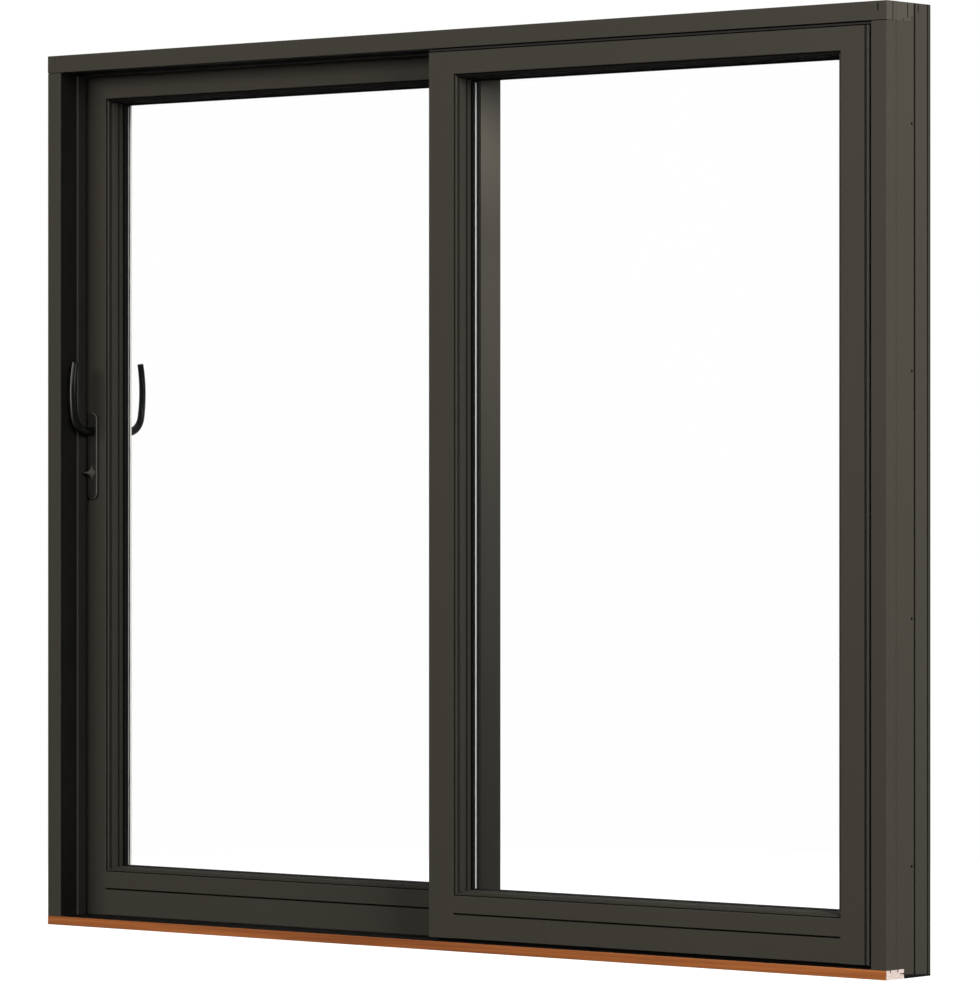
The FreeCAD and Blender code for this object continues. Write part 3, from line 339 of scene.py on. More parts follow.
@dataclass(frozen=True)
class Zone:
    """A part of a member, between limits in metres, that has its own colour.

    Soft is the width of its edges, both_sides counts X from the middle to either side, and a
    fade starts at its first place and is full at its second.
    """

    colour: Colour
    limits: Tuple[Limit, ...]
    soft: float = 0.0003
    both_sides: bool = True
    fade: Optional[Limit] = None

    def mask(self, recipe: Recipe) -> Number:
        """1 inside the zone and 0 outside it.

        Args:
            recipe: The material in the making.

        Returns:
            The mask.
        """
        inside = None
        for axis, low, high in self.limits:
            place = recipe.coordinate(axis)
            if axis == "X" and self.both_sides:
                place = abs(place)
            for edge, rises in ((low, True), (high, False)):
                if abs(edge) < FAR:
                    step = place.above(edge, self.soft)
                    step = step if rises else 1 - step
                    inside = step if inside is None else inside * step
        if self.fade is not None:
            axis, start, end = self.fade
            step = recipe.coordinate(axis).above((start + end) / 2, abs(end - start))
            inside = inside * (step if end > start else 1 - step)
        return inside


def zoned(recipe: Recipe, colour: bpy.types.NodeSocket, zones: Sequence[Zone]) -> bpy.types.NodeSocket:
    """Lay zones over a colour.

    Args:
        recipe: The material in the making.
        colour: The colour underneath.
        zones: The zones, the last one on top.

    Returns:
        The colour.
    """
    for zone in zones:
        colour = recipe.mix(zone.mask(recipe), colour, zone.colour)
    return colour


@dataclass(frozen=True)
class PaintedTimber:
    """Opaque satin paint over planed timber, with the grain faintly raised under it."""

    name: str
    grain: Grain
    colour: Colour = linear(58, 55, 49)
    roughness: float = 0.78
    specular: float = 0.03
    zones: Tuple[Zone, ...] = ()

    def build(self) -> bpy.types.Material:
        """Make the material.

        Returns:
            The material.
        """
        recipe = Recipe(self.name)
        mottle = recipe.noise(2.2, 3.0)
        streak = recipe.noise(150.0, 4.0, self.grain.stretch(0.03), 0.3)
        spray = recipe.noise(1400.0, 2.0)
        colour = recipe.shade(self.colour, mottle * 0.6 + streak * 0.4, 0.1)
        normal = recipe.bump(streak, 0.12, 0.0002)
        normal = recipe.bump(spray, 0.12, 0.0001, normal)
        return recipe.surface({
            "Base Color": zoned(recipe, colour, self.zones),
            "Roughness": self.roughness - 0.04 + mottle * 0.1 + spray * 0.03,
            "Specular IOR Level": self.specular,
            "Normal": normal,
        })


@dataclass(frozen=True)
class PowderCoat:
    """Fine-textured powder coat on extruded metal."""

    name: str
    grain: Grain
    colour: Colour = linear(57, 54, 49)
    roughness: float = 0.75
    specular: float = 0.03
    zones: Tuple[Zone, ...] = ()

    def build(self) -> bpy.types.Material:
        """Make the material.

        Returns:
            The material.
        """
        recipe = Recipe(self.name)
        pebble = recipe.cells(900.0)
        cloud = recipe.noise(3.0, 2.0)
        draw = recipe.noise(260.0, 2.0, self.grain.stretch(0.01))
        colour = recipe.shade(self.colour, pebble * 0.5 + cloud * 0.5, 0.1)
        normal = recipe.bump(pebble, 0.18, 0.0001)
        normal = recipe.bump(draw, 0.08, 0.00015, normal)
        return recipe.surface({
            "Base Color": zoned(recipe, colour, self.zones),
            "Roughness": self.roughness - 0.05 + cloud * 0.1,
            "Specular IOR Level": self.specular,
            "Normal": normal,
        })


@dataclass(frozen=True)
class LacqueredSill:
    """Clear lacquer over orange-brown timber, with pale sawn end grain."""

    name: str
    half_length: float
    dark: Colour = linear(118, 63, 28)
    light: Colour = linear(166, 97, 48)
    end: Colour = linear(214, 198, 190)
    end_dark: Colour = linear(160, 140, 132)
    end_soft: float = 0.0004
    zones: Tuple[Zone, ...] = ()

    def build(self) -> bpy.types.Material:
        """Make the material.

        Returns:
            The material.
        """
        recipe = Recipe(self.name)
        bands = recipe.noise(60.0, 5.0, (0.02, 1.0, 1.6), 0.8)
        fibres = recipe.noise(420.0, 3.0, (0.03, 1.0, 1.0))
        pores = recipe.cells(900.0)
        rings = recipe.noise(120.0, 4.0, (0.2, 0.25, 1.0), 0.6)
        flank = recipe.mix(bands.above(0.5, 0.5), self.dark, self.light)
        flank = recipe.mix(fibres.above(0.62, 0.2) * 0.35, flank, self.dark)
        sawn = recipe.mix((pores * 0.6 + rings * 0.5).above(0.52, 0.3) * 0.6, self.end, self.end_dark)
        at_end = abs(recipe.coordinate("X")).above(self.half_length - self.end_soft, self.end_soft)
        normal = recipe.bump(fibres, 0.25, 0.0002)
        normal = recipe.bump(pores * at_end, 0.4, 0.0004, normal)
        return recipe.surface({
            "Base Color": zoned(recipe, recipe.mix(at_end, flank, sawn), self.zones),
            "Roughness": 0.36 + at_end * 0.45 + bands * 0.08,
            "Coat Weight": 0.03 - at_end * 0.03,
            "Specular IOR Level": 0.1,
            "Coat Roughness": 0.22,
            "Normal": normal,
        })


@dataclass(frozen=True)
class DullBlack:
    """Moulded black plastic or rubber with a fine matt skin."""

    name: str
    colour: Colour = linear(20, 20, 19)
    roughness: float = 0.72
    specular: float = 0.05
    zones: Tuple[Zone, ...] = ()

    def build(self) -> bpy.types.Material:
        """Make the material.

        Returns:
            The material.
        """
        recipe = Recipe(self.name)
        skin = recipe.noise(1600.0, 3.0)
        bloom = recipe.noise(9.0, 4.0)
        colour = recipe.shade(self.colour, skin * 0.4 + bloom * 0.6, 0.3)
        return recipe.surface({
            "Base Color": zoned(recipe, colour, self.zones),
            "Roughness": self.roughness - 0.08 + bloom * 0.16,
            "Specular IOR Level": self.specular,
            "Normal": recipe.bump(skin, 0.3, 0.00015),
        })


@dataclass(frozen=True)
class DarkAnodised:
    """Dark anodised extrusion with fine draw lines."""

    name: str
    grain: Grain
    colour: Colour = linear(18, 17, 16)
    roughness: float = 0.5
    specular: float = 0.06

    def build(self) -> bpy.types.Material:
        """Make the material.

        Returns:
            The material.
        """
        recipe = Recipe(self.name)
        lines = recipe.noise(700.0, 3.0, self.grain.stretch(0.008))
        cloud = recipe.noise(5.0, 3.0)
        return recipe.surface({
            "Base Color": recipe.shade(self.colour, lines * 0.6 + cloud * 0.4, 0.22),
            "Roughness": self.roughness - 0.08 + cloud * 0.1 + lines * 0.08,
            "Specular IOR Level": self.specular,
            "Normal": recipe.bump(lines, 0.2, 0.00008),
        })


@dataclass(frozen=True)
class BareMetal:
    """Plain metal with drawing or turning lines and a few darker patches."""

    name: str
    colour: Colour = linear(196, 196, 194)
    roughness: float = 0.42
    stretch: Triple = (1.0, 1.0, 0.01)
    metallic: float = 0.85
    zones: Tuple[Zone, ...] = ()

    def build(self) -> bpy.types.Material:
        """Make the material.

        Returns:
            The material.
        """
        recipe = Recipe(self.name)
        lines = recipe.noise(900.0, 3.0, self.stretch)
        cloud = recipe.noise(12.0, 4.0)
        colour = recipe.shade(self.colour, lines * 0.5 + cloud * 0.5, 0.16)
        return recipe.surface({
            "Base Color": zoned(recipe, colour, self.zones),
            "Roughness": self.roughness - 0.1 + cloud * 0.12 + lines * 0.1,
            "Metallic": self.metallic,
            "Normal": recipe.bump(lines, 0.25, 0.00008),
        })


@dataclass(frozen=True)
class DarkBronze:
    """Dark bronze on cast handles, worn a little in random patches."""

    name: str
    colour: Colour = linear(7, 7, 6)
    wear_and_highlight: Colour = linear(14, 13, 12)
    roughness: float = 0.14
    specular: float = 0.05
    zones: Tuple[Zone, ...] = ()

    def build(self) -> bpy.types.Material:
        """Make the material.

        Returns:
            The material.
        """
        recipe = Recipe(self.name)
        cast = recipe.noise(700.0, 3.0)
        wear = recipe.noise(38.0, 4.0)
        worn = wear.above(0.6, 0.25)
        colour = recipe.mix(worn * 0.5, self.colour, self.wear_and_highlight)
        return recipe.surface({
            "Base Color": zoned(recipe, colour, self.zones),
            "Roughness": self.roughness + cast * 0.05 - worn * 0.04,
            "Specular IOR Level": self.specular,
            "Normal": recipe.bump(cast, 0.14, 0.00012),
        })


@dataclass(frozen=True)
class FloatGlass:
    """Clear float glass with the faintest haze left by cleaning."""

    name: str
    colour: Colour = (0.46, 0.52, 0.5)

    def build(self) -> bpy.types.Material:
        """Make the material.

        Returns:
            The material.
        """
        recipe = Recipe(self.name)
        wipe = recipe.noise(3.5, 3.0, (1.0, 1.0, 0.35), 1.2)
        return recipe.surface({
            "Base Color": recipe.shade(self.colour, wipe, 0.02),
            "Roughness": 0.02 + wipe * 0.03,
            "Specular IOR Level": 0.5,
            "Alpha": 0.002 + wipe * 0.003,
        })


@dataclass(frozen=True)
class PileBrush:
    """Short woven pile of a brush strip."""

    name: str
    colour: Colour = linear(12, 12, 11)

    def build(self) -> bpy.types.Material:
        """Make the material.

        Returns:
            The material.
        """
        recipe = Recipe(self.name)
        hairs = recipe.noise(2600.0, 2.0, (1.0, 0.08, 1.0))
        tufts = recipe.cells(420.0)
        return recipe.surface({
            "Base Color": recipe.shade(self.colour, hairs * 0.5 + tufts * 0.5, 0.5),
            "Roughness": 0.85 + hairs * 0.1,
            "Specular IOR Level": 0.03,
            "Normal": recipe.bump(hairs, 0.7, 0.0005),
        })


@dataclass
class Shape:
    """A mesh in the making, shaped with mesh operators. Shares are of a screw head's radius."""

    mesh: bmesh.types.BMesh = field(default_factory=bmesh.new)
    shank_share: float = 0.6
    recess_share: float = 0.45
    wall_share: float = 0.05
    rim_share: float = 0.06
    merged: float = 0.00001
    flat: float = 0.01

    def _bevel(self, edges: Iterable[bmesh.types.BMEdge], width: float, segments: int = 2,
               clamp: bool = False) -> None:
        """Bevel some of the mesh's edges.

        Args:
            edges: The edges.
            width: Width of the bevel.
            segments: Faces across it.
            clamp: True to keep bevels from running over each other.
        """
        bmesh.ops.bevel(self.mesh, geom=list(edges), offset=width, segments=segments, profile=0.5,
                        affect="EDGES", material=-1, clamp_overlap=clamp)

    def _sharp(self) -> List[bmesh.types.BMEdge]:
        """Edges at which two faces meet at a clear angle."""
        return [e for e in self.mesh.edges if len(e.link_faces) == 2 and e.calc_face_angle(0) > SHARP]

    def block(self, low: Vector, high: Vector, edge: float = 0.0) -> "Shape":
        """Add a block with bevelled edges.

        Args:
            low: Lowest corner.
            high: Highest corner.
            edge: Width of the bevel.

        Returns:
            The shape.
        """
        place = Matrix.Translation((low + high) / 2) @ Matrix.Diagonal((*(high - low), 1.0))
        made = bmesh.ops.create_cube(self.mesh, size=1.0, matrix=place)
        if edge > 0:
            self._bevel({e for v in made["verts"] for e in v.link_edges}, edge)
        return self

    def ring(self, low: Vector, high: Vector, width: float, edge: float) -> "Shape":
        """Add an upright rectangular ring, as a seal that runs round a pane.

        Args:
            low: Lowest corner of the ring's outside.
            high: Highest corner of the ring's outside.
            width: Width of the ring's sides.
            edge: Width of the bevel.

        Returns:
            The shape.
        """
        middle, size = (low + high) / 2, high - low
        place = (Matrix.Translation((middle.x, low.y, middle.z))
                 @ Matrix.Diagonal((size.x, 1.0, size.z, 1.0))
                 @ Matrix.Rotation(math.radians(90), 4, "X"))
        made = bmesh.ops.create_grid(self.mesh, x_segments=1, y_segments=1, size=0.5, matrix=place)
        face = made["verts"][0].link_faces[0]
        inset = bmesh.ops.inset_region(self.mesh, faces=[face], thickness=width, use_even_offset=True,
                                       use_boundary=True)
        bmesh.ops.delete(self.mesh, geom=[face], context="FACES")
        grown = bmesh.ops.extrude_face_region(self.mesh, geom=inset["faces"])
        verts = [v for v in grown["geom"] if isinstance(v, bmesh.types.BMVert)]
        bmesh.ops.translate(self.mesh, verts=verts, vec=(0, size.y, 0))
        bmesh.ops.recalc_face_normals(self.mesh, faces=self.mesh.faces[:])
        self._bevel(self._sharp(), edge)
        return self

    def screw(self, face: Vector, side: int, radius: float) -> "Shape":
        """Add a countersunk screw head with a recess, facing sideways.

        Args:
            face: Middle of the head's face.
            side: -1 where it faces -X and 1 where it faces +X.
            radius: Radius of the head.

        Returns:
            The shape.
        """
        turn = Matrix.Rotation(math.radians(90 * side), 4, "Y")
        place = Matrix.Translation(face - Vector((side * radius / 2, 0, 0))) @ turn
        made = bmesh.ops.create_cone(self.mesh, cap_ends=True, segments=20, depth=radius, radius2=radius,
                                     radius1=radius * self.shank_share, matrix=place)
        faces = {f for v in made["verts"] for f in v.link_faces}
        front = max(faces, key=lambda f: f.calc_center_median().x * side)
        recess = radius * self.recess_share
        inset = bmesh.ops.inset_region(self.mesh, faces=[front], thickness=recess, use_even_offset=True)
        bmesh.ops.inset_region(self.mesh, faces=[front], thickness=radius * self.wall_share, depth=-recess)
        rim = {e for f in inset["faces"] for e in f.edges if e.calc_face_angle(0) > SHARP}
        self._bevel(rim, radius * self.rim_share)
        return self

    def _oval(self, centre: Vector, travel: Vector, width: float, thick: float) -> Matrix:
        """Place and size of one oval across a line.

        Args:
            centre: Its centre.
            travel: The line's direction there.
            width: Its width, along X.
            thick: Its thickness.

        Returns:
            The matrix that makes it from a circle of radius 1.
        """
        across = Vector((1, 0, 0))
        up = travel.cross(across).normalized()
        basis = Matrix((across, up, travel.normalized())).transposed().to_4x4()
        return Matrix.Translation(centre) @ basis @ Matrix.Diagonal((width / 2, thick / 2, 1.0, 1.0))

    def swept_oval(self, stations: Sequence[Tuple[Vector, Vector, float, float]], edge: float,
                   sides: int = 28) -> "Shape":
        """Carry an oval along a line by extruding its rim from one station to the next.

        Args:
            stations: Centre, direction of travel, width and thickness at each place.
            edge: Width of the rounding at the far end.
            sides: Corners of the oval.

        Returns:
            The shape.
        """
        last = self._oval(*stations[0])
        made = bmesh.ops.create_circle(self.mesh, cap_ends=True, radius=1.0, segments=sides, matrix=last)
        rim = list({e for v in made["verts"] for e in v.link_edges})
        for station in stations[1:]:
            placed = self._oval(*station)
            grown = bmesh.ops.extrude_edge_only(self.mesh, edges=rim)["geom"]
            verts = [v for v in grown if isinstance(v, bmesh.types.BMVert)]
            rim = [e for e in grown if isinstance(e, bmesh.types.BMEdge) and e.is_boundary]
            bmesh.ops.transform(self.mesh, matrix=placed @ last.inverted(), verts=verts)
            last = placed
        cap = bmesh.ops.holes_fill(self.mesh, edges=rim)["faces"]
        self._bevel({e for f in cap for e in f.edges}, edge, 3)
        bmesh.ops.recalc_face_normals(self.mesh, faces=self.mesh.faces[:])
        return self

    def softened(self, node: str, edge: float) -> "Shape":
        """Copy a CAD node and bevel its sharp edges.

        Args:
            node: The node's name.
            edge: Width of the bevel.

        Returns:
            The shape.
        """
        self.mesh.from_mesh(frame["nodes"][node].data)
        bmesh.ops.remove_doubles(self.mesh, verts=self.mesh.verts[:], dist=self.merged)
        bmesh.ops.dissolve_limit(self.mesh, angle_limit=self.flat, verts=self.mesh.verts[:],
                                 edges=self.mesh.edges[:])
        self._bevel(self._sharp(), edge, clamp=True)
        return self

    def piece(self, name: str, material: bpy.types.Material, body: Body, slot: Optional[str] = None,
              replaces: Sequence[str] = (), smooth: bool = True) -> None:
        """Close the mesh and hang it on its body.

        Args:
            name: The piece's name.
            material: Its finish.
            body: What it moves with.
            slot: The record's material slot, if it has one; not used.
            replaces: CAD nodes that it stands for.
            smooth: True for smooth shading with sharp creases kept.
        """
        data = bpy.data.meshes.new(name)
        self.mesh.to_mesh(data)
        self.mesh.free()
        made = bpy.data.objects.new(name, data)
        bpy.context.scene.collection.objects.link(made)
        data.materials.append(material)
        if smooth:
            data.shade_smooth()
            data.set_sharp_from_angle(angle=math.radians(CREASE))
        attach(made, body.value)
        if replaces:
            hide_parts(*replaces)
        LOG.info("piece %s: %d faces on %s", name, len(data.polygons), body.value)


def fixing_heights() -> List[float]:
    """Heights of the fixing holes, from the record's mounts.

    Returns:
        The heights, in metres.
    """
    heights = []
    for mount in frame["record"]["mounts"]:
        if mount["name"].startswith("jamb_right"):
            half = mount["dims"]["spacing_y_mm"] / 2000
            heights += [mount["pos_m"][2] - half, mount["pos_m"][2] + half]
    return sorted(heights)


@dataclass
class Finishes:
    """Every finish of the door, made once. Depths are from the frame's near face, in metres."""

    black: Colour = linear(9, 9, 8)
    shaded: Colour = linear(50, 48, 43)
    # Painted light on the liner's front and on the side reveal's rib.
    painted: Colour = linear(60, 58, 52)
    # Painted shade on the top reveal's rib.
    top_rib_shade: Colour = linear(36, 34, 31)
    pale_end: Colour = linear(66, 63, 57)
    # Painted highlight on the handle plates' rims.
    rim: Colour = linear(86, 83, 76)
    # Painted highlight on the inside pull's left side.
    wear_and_highlight: Colour = linear(112, 109, 103)
    # Painted shade in gaps between parts and on the handle plates' sides.
    gap_shade: Colour = linear(27, 26, 24)
    # The head's ends, its underside black as painted shade, and the lines round the frame.
    end_deep: float = 0.0006
    end_soft: float = 0.0012
    underside: float = 0.0004
    joint_depth: float = 0.0998
    joint_half: float = 0.0029
    weather_depth: float = 0.1462
    weather_half: float = 0.0019
    # Saw kerfs in the head: depth and height of those in its ends, then the one in its face.
    kerf_deep: float = 0.0034
    kerf_half: float = 0.0013
    end_kerfs: Tuple[Pair, ...] = ((0.0228, 0.040), (0.0752, 0.032), (0.1128, 0.020))
    front_kerf: float = 0.022
    front_kerf_half: float = 0.0018
    front_kerf_ends: Pair = (0.0205, 0.004)
    # Nail holes, fixing holes, and the kerfs in the sill's nosing.
    nail_at: Pair = (-0.029, 1.995)
    nail_half: float = 0.0018
    nail_deep: float = 0.0005
    hole_y: float = 0.002
    hole_half: float = 0.0027
    hole_deep: float = 0.01
    nosing_kerfs: Pair = (0.0125, 0.039)
    nosing_kerf_span: Pair = (-0.0005, 0.0029)
    nosing_kerf_heights: Pair = (-0.0055, 0.01)
    # Painted light on the fronts of the liner and of the reveal's ribs.
    liner_front: float = 0.0545
    rib_depth: float = 0.0118
    # The sliding leaf's edge at the meeting stiles, with painted light and shade: tone, and the heights where
    # it starts and is full.
    edge_span: Pair = (-0.002, 0.01)
    edge_behind: float = 0.002
    edge_soft: float = 0.001
    edge_light_and_shade: Tuple[Tuple[Colour, float, float], ...] = (
        (linear(66, 63, 57), 0.9, 1.5), (linear(92, 88, 80), 1.55, 1.9), (linear(36, 34, 30), 1.5, 0.1),
    )
    # Painted shade along the fixed leaf's right edge, and in the gaps at the beads.
    side_strip: float = 0.0018
    side_soft: float = 0.0005
    gap_depths: Pair = (0.0011, 0.0066)
    # Painted shade on the beads' steps, from the leaf's near face: start, end and tone.
    bead_step_shade: Tuple[Tuple[float, float, Colour], ...] = (
        (0.0058, 0.0156, linear(31, 29, 27)), (0.0170, 0.0330, linear(49, 47, 42)),
        (0.0325, 0.0365, linear(22, 21, 19)), (0.0365, 0.0470, linear(46, 44, 39)),
        (0.0470, 0.0535, linear(9, 9, 8)),
    )
    # Painted shade on the level beads: over and under the glass, in the top beads' step and in the bottom
    # beads' gap.
    top_bead_shade: Colour = linear(13, 12, 11)
    top_bead_step_shade: Colour = linear(34, 32, 29)
    lower_bead_shade: Colour = linear(50, 48, 43)
    step_depths: Pair = (0.0152, 0.0176)
    bottom_gap_shade: Pair = (0.0062, 0.0100)
    # Spacers, handle plates and the inside pull: painted shade on the spacers, painted highlights and shade
    # on the plates, a painted highlight on the pull.
    spacer_height: float = 0.0148
    spacer_side: float = 0.0004
    plate_highlight_depths: Pair = (0.0001, 0.0012)
    plate_shade_depths: Pair = (0.0012, 0.0080)
    fine: float = 0.0002
    pull_highlight_heights: Pair = (1.14, 1.25)
    pull_highlight_deep: float = 0.02
    pull_highlight_soft: float = 0.005

    def __post_init__(self) -> None:
        """Build the materials."""
        self.frame_finishes()
        self.leaf_finishes()
        self.lining_finishes()
        self.metal_finishes()
        self.glass = FloatGlass("float_glass").build()
        self.pile = PileBrush("brush_pile").build()

    def frame_finishes(self) -> None:
        """Paint and coat of the frame, with its joint, lines and kerfs, and the sill's finishes."""
        # Painted shade: the head's underside is coloured black.
        under = Zone(self.black, (("Z", -FAR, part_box("head")[0].z + self.underside),), self.fine)
        pale = Zone(self.pale_end, (("X", HALF_WIDTH - self.end_deep, FAR),))
        sealant = Zone(self.black, (about("Y", NEAR_FACE + self.joint_depth, self.joint_half),))
        ends = (pale, under, sealant, self.nail(), *self.kerfs())
        self.head = PaintedTimber("paint_head", Grain.LEVEL, zones=ends).build()
        sides = (sealant, *self.holes())
        self.jamb = PaintedTimber("paint_jamb", Grain.UPRIGHT, zones=sides).build()
        back = NEAR_FACE + self.weather_depth
        behind = Zone(self.shaded, (("Y", back, FAR),))
        line = Zone(self.black, (about("Y", back, self.weather_half),))
        rear = (behind, sealant, line, *self.kerfs())
        self.outer_upright = PowderCoat("coat_outer_upright", Grain.UPRIGHT, zones=rear).build()
        self.outer_level = PowderCoat("coat_outer_level", Grain.LEVEL, zones=rear).build()
        self.sill = LacqueredSill("lacquered_sill", HALF_WIDTH, zones=self.sill_kerfs()).build()
        self.pan = DullBlack("black_pan", linear(8, 8, 8)).build()
        self.deck = DarkAnodised("deck_metal", Grain.LEVEL, linear(12, 12, 12), specular=0.03).build()

    def leaf_finishes(self) -> None:
        """Paint and coat of the two leaves and their beads."""
        # Painted light and shade on the sliding leaf's leading edge.
        edge = self.leading_edge_light_and_shade()
        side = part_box("fixed_stile_right")[1].x
        # Painted shade in the gap along the fixed leaf's right edge.
        strip = Zone(self.gap_shade, (("X", side - self.side_strip, FAR),), self.side_soft, False)
        gaps = self.leaf_gaps()
        self.upright = PaintedTimber("paint_upright", Grain.UPRIGHT, zones=(*edge, strip, *gaps)).build()
        self.level = PaintedTimber("paint_level", Grain.LEVEL, zones=gaps).build()
        self.bead_upright = PaintedTimber("bead_upright", Grain.UPRIGHT, zones=self.bead_step_shading()).build()
        self.bead_level = PaintedTimber("bead_level", Grain.LEVEL, zones=self.level_bead_shading()).build()
        self.coat_upright = PowderCoat("coat_upright", Grain.UPRIGHT, zones=edge).build()
        self.coat_level = PowderCoat("coat_level", Grain.LEVEL).build()

    def lining_finishes(self) -> None:
        """Dark plastic of the liners and of the reveal, rubber and tape, with painted light on the liner's
        front and the ribs.
        """
        # The liner's front in frame colour is painted light.
        front = Zone(self.painted, (("Y", -FAR, NEAR_FACE + self.liner_front),), self.edge_soft)
        self.liner = DullBlack("dark_liner", linear(24, 23, 21), 0.6, zones=(front,)).build()
        self.head_liner = DullBlack("dark_head_liner", linear(16, 15, 14), 0.6).build()
        self.cover = DullBlack("dark_cover", linear(10, 9, 8), 0.6).build()
        reveal = []
        # The ribs' fronts in frame colour are painted light; the top rib's darker tone is painted shade.
        for name, rib in (("dark_reveal_side", self.painted), ("dark_reveal_top", self.top_rib_shade)):
            ribs = (Zone(rib, (("Y", -FAR, NEAR_FACE + self.rib_depth),)),)
            reveal.append(DullBlack(name, linear(15, 14, 13), 0.6, zones=ribs).build())
        self.reveal_side, self.reveal_top = reveal
        self.filler = DullBlack("dark_filler", linear(14, 13, 12), 0.7).build()
        self.rubber = DullBlack("black_rubber", linear(11, 11, 10)).build()
        self.tape = DullBlack("pale_tape", linear(205, 205, 200), 0.6).build()

    def metal_finishes(self) -> None:
        """Bare and anodised metal, and the bronze of the handle set."""
        plain = (1.0, 1.0, 1.0)
        self.interlock = DarkAnodised("interlock_metal", Grain.UPRIGHT).build()
        # The spacers' upper members carry painted shade.
        self.spacer = BareMetal("spacer_metal", linear(168, 168, 165), 0.5, plain, 0.2,
                                self.spacer_shade_and_sealant()).build()
        self.track = BareMetal("track_metal", linear(150, 149, 146), 0.3, (0.01, 1.0, 1.0)).build()
        self.roller = BareMetal("roller_metal", linear(170, 168, 162), 0.35, (1.0, 0.02, 1.0)).build()
        # A painted highlight on the inside pull's left side, fading out down the grip.
        low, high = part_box("pull_inside")
        limits = (("X", -FAR, (low.x + high.x) / 2), ("Y", -FAR, low.y + self.pull_highlight_deep))
        pull_highlight = Zone(self.wear_and_highlight, limits, self.pull_highlight_soft, False, ("Z", *self.pull_highlight_heights))
        self.bronze = DarkBronze("dark_bronze", zones=(pull_highlight,)).build()
        # The plates carry painted highlights on their rims and painted shade on their sides.
        self.plate = DarkBronze("plate_bronze", linear(41, 39, 36), linear(50, 48, 44), 0.34, 0.08,
                                self.plate_highlight_and_shade()).build()
        self.turn = DarkBronze("turn_bronze", linear(62, 60, 55), linear(72, 69, 63), 0.34, 0.12).build()

    def nail(self) -> Zone:
        """A stopped nail hole in each end of the head."""
        sides = (about(axis, middle, self.nail_half) for axis, middle in zip("YZ", self.nail_at))
        return Zone(self.black, (("X", HALF_WIDTH - self.nail_deep, FAR), *sides), self.end_soft)

    def kerfs(self) -> Tuple[Zone, ...]:
        """Saw kerfs in the head's ends and in its face at the right, with painted shade inside them.

        Returns:
            One zone for each kerf.
        """
        made = [Zone(self.black, (("X", HALF_WIDTH - self.kerf_deep, FAR), ("Z", TOP - foot, FAR),
                                  about("Y", NEAR_FACE + depth, self.kerf_half)))
                for depth, foot in self.end_kerfs]
        foot, top = self.front_kerf_ends
        limits = (about("X", HALF_WIDTH - self.front_kerf, self.front_kerf_half),
                  ("Y", -FAR, NEAR_FACE + self.kerf_deep), ("Z", TOP - foot, TOP - top))
        return (*made, Zone(self.black, limits, both_sides=False))

    def holes(self) -> Tuple[Zone, ...]:
        """Painted shade in and round the fixing holes, one zone for each height."""
        return tuple(Zone(self.black, (("X", HALF_WIDTH - self.hole_deep, FAR),
                                       about("Y", self.hole_y, self.hole_half),
                                       about("Z", height, self.hole_half)), self.end_soft)
                     for height in fixing_heights())

    def sill_kerfs(self) -> Tuple[Zone, ...]:
        """The kerfs in the nosing's upper face, with painted shade inside them.

        Returns:
            One zone for each kerf.
        """
        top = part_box("sill_nosing")[1].z
        foot, past = self.nosing_kerf_heights
        near, far = self.nosing_kerf_span
        fronts = (NEAR_FACE + start for start in self.nosing_kerfs)
        return tuple(Zone(self.black, (("Z", top + foot, top + past), ("Y", front + near, front + far)))
                     for front in fronts)

    def leading_edge_light_and_shade(self) -> Tuple[Zone, ...]:
        """Painted light and shade down the sliding leaf's edge at the meeting stiles, lighter towards the top
        and darker towards the bottom.

        Returns:
            One zone for each part of the fade.
        """
        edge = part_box("sliding_stile_right")[1].x
        low, high = self.edge_span
        limits = (("X", edge + low, edge + high), ("Y", self.edge_behind, FAR))
        return tuple(Zone(tone, limits, self.edge_soft, False, ("Z", start, end))
                     for tone, start, end in self.edge_light_and_shade)

    def fronts(self) -> Tuple[float, ...]:
        """Where the near faces of the two leaves lie."""
        return tuple(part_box(name + "_stile_left")[0].y for name in ("fixed", "sliding"))

    def leaf_gaps(self) -> Tuple[Zone, ...]:
        """Painted shade in the gaps between the leaves' members and their beads, one zone for each leaf."""
        near, far = self.gap_depths
        return tuple(Zone(self.gap_shade, (("Y", front + near, front + far),)) for front in self.fronts())

    def bead_step_shading(self) -> Tuple[Zone, ...]:
        """Painted shade on the upright beads' steps, from the nose to the seal, in both leaves."""
        return tuple(Zone(tone, (("Y", front + start, front + end),))
                     for front in self.fronts() for start, end, tone in self.bead_step_shade)

    def level_bead_shading(self) -> Tuple[Zone, ...]:
        """Painted shade on the level beads: dark over the glass, paler under it, in both leaves.

        Returns:
            The zones.
        """
        upper, lower = ("Z", TOP / 2, FAR), ("Z", -FAR, TOP / 2)
        parts = ((self.top_bead_step_shade, self.step_depths, upper), (self.black, self.bottom_gap_shade, lower))
        steps = (Zone(tone, (("Y", front + start, front + end), part))
                 for front in self.fronts() for tone, (start, end), part in parts)
        return Zone(self.top_bead_shade, (upper,)), Zone(self.lower_bead_shade, (lower,)), *steps

    def spacer_shade_and_sealant(self) -> Tuple[Zone, ...]:
        """Painted shade over the spacers' upper members, and black sealant on their near sides.

        Returns:
            The zones.
        """
        upper = ("Z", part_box("fixed_spacer")[1].z - self.spacer_height, FAR)
        faces = (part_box(name)[0].y for name in ("fixed_spacer", "sliding_spacer"))
        near = (about("Y", face, self.spacer_side) for face in faces)
        return tuple(Zone(self.black, (limit,)) for limit in (upper, *near))

